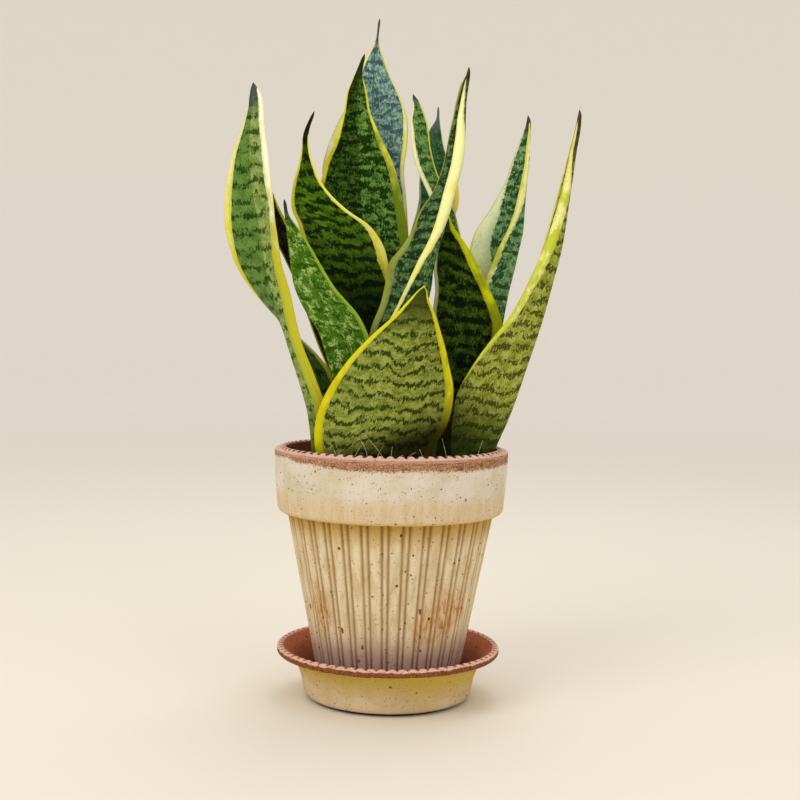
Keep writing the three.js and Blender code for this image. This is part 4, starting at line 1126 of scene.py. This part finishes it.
# Painted shade towards the dish's floor, under the pot.
dish = board.mix(board.fade(z, 22, 10), dish, srgb(112, 52, 26))
colour = board.mix(board.measure("inside"), colour, dish)
finish_clay(board, shader, place, colour, wash["Grain"])
saucer.data.materials.append(material)
print("clay finishes:", pot.data.materials[0].name, saucer.data.materials[0].name)

# %% [markdown]
# ## Soil
# Potting soil is a heap of crumbs. A bumpy surface alone would look like felt, so a closed body with a rough top
# fills the pot, and some hundreds of crumbs lie on it, all in one mesh. Each crumb starts as a small ball of 32
# triangles, and is stretched and dented.

# %% Soil
SOIL_LEVEL, SOIL_FLOOR, SOIL_REACH = 134, 12.7, 60.9
SOIL_COLUMNS = 220

angle = 2 * np.pi * np.arange(SOIL_COLUMNS) / SOIL_COLUMNS
wall_path = np.stack((np.linspace(36.4, 55.5, 12), np.linspace(SOIL_FLOOR, 108, 12)), -1)
top_radius = SOIL_REACH * (1 - np.linspace(0, 1, 46) ** 1.1 * 0.985)
top_path = np.stack((top_radius, np.full(len(top_radius), float(SOIL_LEVEL))), -1)
profile = np.vstack(((1, SOIL_FLOOR), wall_path, (SOIL_REACH, SOIL_LEVEL - 1), top_path))
radius, height = profile[:, :1], profile[:, 1:]
x, y = radius * np.cos(angle), radius * np.sin(angle)
rough = waves(7, x / 6, y / 6, count=8) * 0.5 + waves(8, x / 1.6, y / 1.6, count=10) * 0.35
points = circled(radius, height + (height > SOIL_LEVEL - 0.5) * rough, angle).reshape(-1, 3)
middles = np.array(((0, 0, SOIL_FLOOR), (0, 0, SOIL_LEVEL)))
soil = make_piece("soil_body", np.vstack((points, middles)), tube_faces(len(profile), SOIL_COLUMNS))
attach(soil, "root")
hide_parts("soil")


# %% Soil crumbs
def small_ball():
    """An octahedron with each face cut in four and its points pushed out to distance 1: 18 points, 32 faces."""
    points = [(1, 0, 0), (0, 1, 0), (-1, 0, 0), (0, -1, 0), (0, 0, 1), (0, 0, -1)]
    sides = [(0, 1, 4), (1, 2, 4), (2, 3, 4), (3, 0, 4), (1, 0, 5), (2, 1, 5), (3, 2, 5), (0, 3, 5)]
    middle, faces = {}, []
    for a, b, c in sides:
        ab, bc, ca = (middle.setdefault(frozenset(pair), len(points) + len(middle))
                      for pair in ((a, b), (b, c), (c, a)))
        faces += [(a, ab, ca), (b, bc, ab), (c, ca, bc), (ab, bc, ca)]
    halves = [np.mean([points[corner] for corner in pair], axis=0) for pair in middle]
    points = np.vstack((points, halves))
    return points / np.linalg.norm(points, axis=1, keepdims=True), np.array(faces)


CRUMBS = 900
CRUMB_REACH = 59
draw = np.random.default_rng(21)
ball, ball_faces = small_ball()
count = len(ball)
size = 0.5 + 1.3 * draw.random(CRUMBS) ** 3
stretched = draw.uniform(0.65, 1.1, (CRUMBS, 1, 3))
dented = draw.uniform(0.8, 1.15, (CRUMBS, count, 1))
turn = draw.uniform(0, 2 * np.pi, CRUMBS)
reach = CRUMB_REACH * np.sqrt(draw.random(CRUMBS))
where = np.stack((reach * np.cos(turn), reach * np.sin(turn), SOIL_LEVEL + 0.3 + 0 * turn), -1)
crumb_points = (ball * (size[:, None, None] * stretched * dented) + where[:, None]).reshape(-1, 3)
crumb_faces = (ball_faces + count * np.arange(CRUMBS)[:, None, None]).reshape(-1, 3)
crumbs = make_piece("soil_crumbs", crumb_points, [crumb_faces])
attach(crumbs, "root")

# %% Soil: its finish
material, board, shader = new_material("soil_finish", Specular_IOR_Level=0.2)
clods = board.noise(board.object_mm(), 0.5, 5.0, 0.7)
connect(board, board.mix(board.fade(clods, 0.35, 0.7), srgb(40, 26, 16), srgb(92, 66, 42)), shader["Base Color"])
connect(board, board.math("MULTIPLY_ADD", clods, 0.1, 0.88), shader["Roughness"])
add_bump(board, shader, clods, 0.8, 1.0)
for piece in (soil, crumbs):
    piece.data.materials.append(material)
print("soil finish on", len(material.node_tree.nodes), "nodes")

# %% [markdown]
# A few dry root fibres stick up out of the soil at the front, pale against the dark foot of the leaves. They
# could be flat strips, but thin round threads catch the light from every side. Each is a bent thread through
# the soil, towards a second place and to its end.

# %% Dry fibres
FIBRES = np.array([
    [[4, -58, 134], [-2, -59, 150], [-15.2, -55, 162.6]], [[-12, -58, 134], [-11.5, -58, 158], [-20, -55, 161]],
    [[-27, -54, 134], [-21, -56, 150], [-15.1, -54, 158.2]],
    [[-12, -58, 134], [-9.5, -59, 148], [-4.1, -57, 156.5]],
    [[0, -58, 134], [-0.5, -59, 146], [0.8, -57, 156]], [[-26, -52, 134], [-29, -53, 150], [-34.9, -49, 157.2]],
    [[3, -58, 134], [6, -60, 169], [11, -57.5, 134]], [[34, -50, 134], [32, -51, 150], [28.6, -49, 160.4]],
    [[44, -40, 134], [49, -37, 148], [53, -28, 158]], [[-2, -57, 134], [6, -60, 150], [14, -57, 153]],
    [[-36, -46, 134], [-33, -50, 146], [-28, -50, 153]], [[22, -55, 134], [20, -56, 147], [16, -55, 154.5]],
])
FIBRE_RADIUS, FIBRE_THINNING = 0.22, 0.12
STEPS, SIDES = 20, 6

t = np.linspace(0, 1, STEPS)[None, :, None]
start, toward, end = (FIBRES[:, None, corner] for corner in range(3))
path = (1 - t) ** 2 * start + 2 * t * (1 - t) * toward + t**2 * end
along = (1 - t) * (toward - start) + t * (end - toward)
along /= np.linalg.norm(along, axis=-1, keepdims=True)
side = np.cross((0, 1, 0), along)
side /= np.linalg.norm(side, axis=-1, keepdims=True)
phase = 2 * np.pi * np.arange(SIDES)[:, None] / SIDES
ring = np.cos(phase) * side[:, :, None] + np.sin(phase) * np.cross(along, side)[:, :, None]
threads = path[:, :, None] + (FIBRE_RADIUS - FIBRE_THINNING * t[..., None]) * ring
fibre_points = np.concatenate((threads.reshape(len(FIBRES), -1, 3), path[:, [0, -1]]), axis=1)
firsts = fibre_points.shape[1] * np.arange(len(FIBRES))[:, None, None]
fibre_faces = [(block + firsts).reshape(-1, block.shape[1]) for block in tube_faces(STEPS, SIDES)]
fibres = make_piece("dry_fibres", fibre_points.reshape(-1, 3), fibre_faces)
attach(fibres, "root")

# %% Dry fibres: their finish
material, board, shader = new_material("fibre_finish", Roughness=0.8, Specular_IOR_Level=0.2)
patches = board.fade(board.noise(board.object_mm(), 0.6, 3.0), 0.35, 0.65)
connect(board, board.mix(patches, srgb(206, 190, 150), srgb(150, 128, 88)), shader["Base Color"])
fibres.data.materials.append(material)
print("fibres:", len(FIBRES))

# %% [markdown]
# ## Floor
# A plain pale floor under the plant catches its soft shadow. A flat plane would end in a horizon behind the
# plant, so far away it curves up all round, as a studio's paper sweep does.

# %% Floor
FLOOR_COLUMNS = 128
FLAT_RADII = (400, 1200, 2500)
SWEEP_START, SWEEP_RADIUS, SWEEP_TURN = 4500, 3200, 78

sweep = np.radians(np.linspace(0, SWEEP_TURN, 17))
reach = np.append(FLAT_RADII, SWEEP_START + SWEEP_RADIUS * np.sin(sweep))
rise = np.append((0, 0, 0), SWEEP_RADIUS * (1 - np.cos(sweep)))
angle = 2 * np.pi * np.arange(FLOOR_COLUMNS) / FLOOR_COLUMNS
circles = circled(reach[:, None], rise[:, None], angle).reshape(-1, 3)
floor = make_piece("floor", np.vstack((circles, (0, 0, 0))), [
    grid_faces(len(reach), FLOOR_COLUMNS)[:, ::-1], fan_faces(np.arange(FLOOR_COLUMNS), len(circles))])
material, board, shader = new_material("floor_finish", Roughness=0.8, Specular_IOR_Level=0.2)
place = board.object_mm()
near = board.mix(board.noise(place, 0.4, 3.0), srgb(236, 228, 214), srgb(240, 232, 218))
away = board.put("VectorMath", {0: place}, operation="LENGTH").outputs["Value"]
connect(board, board.mix(board.fade(away, 700, 3000), near, srgb(253, 248, 238)), shader["Base Color"])
floor.data.materials.append(material)
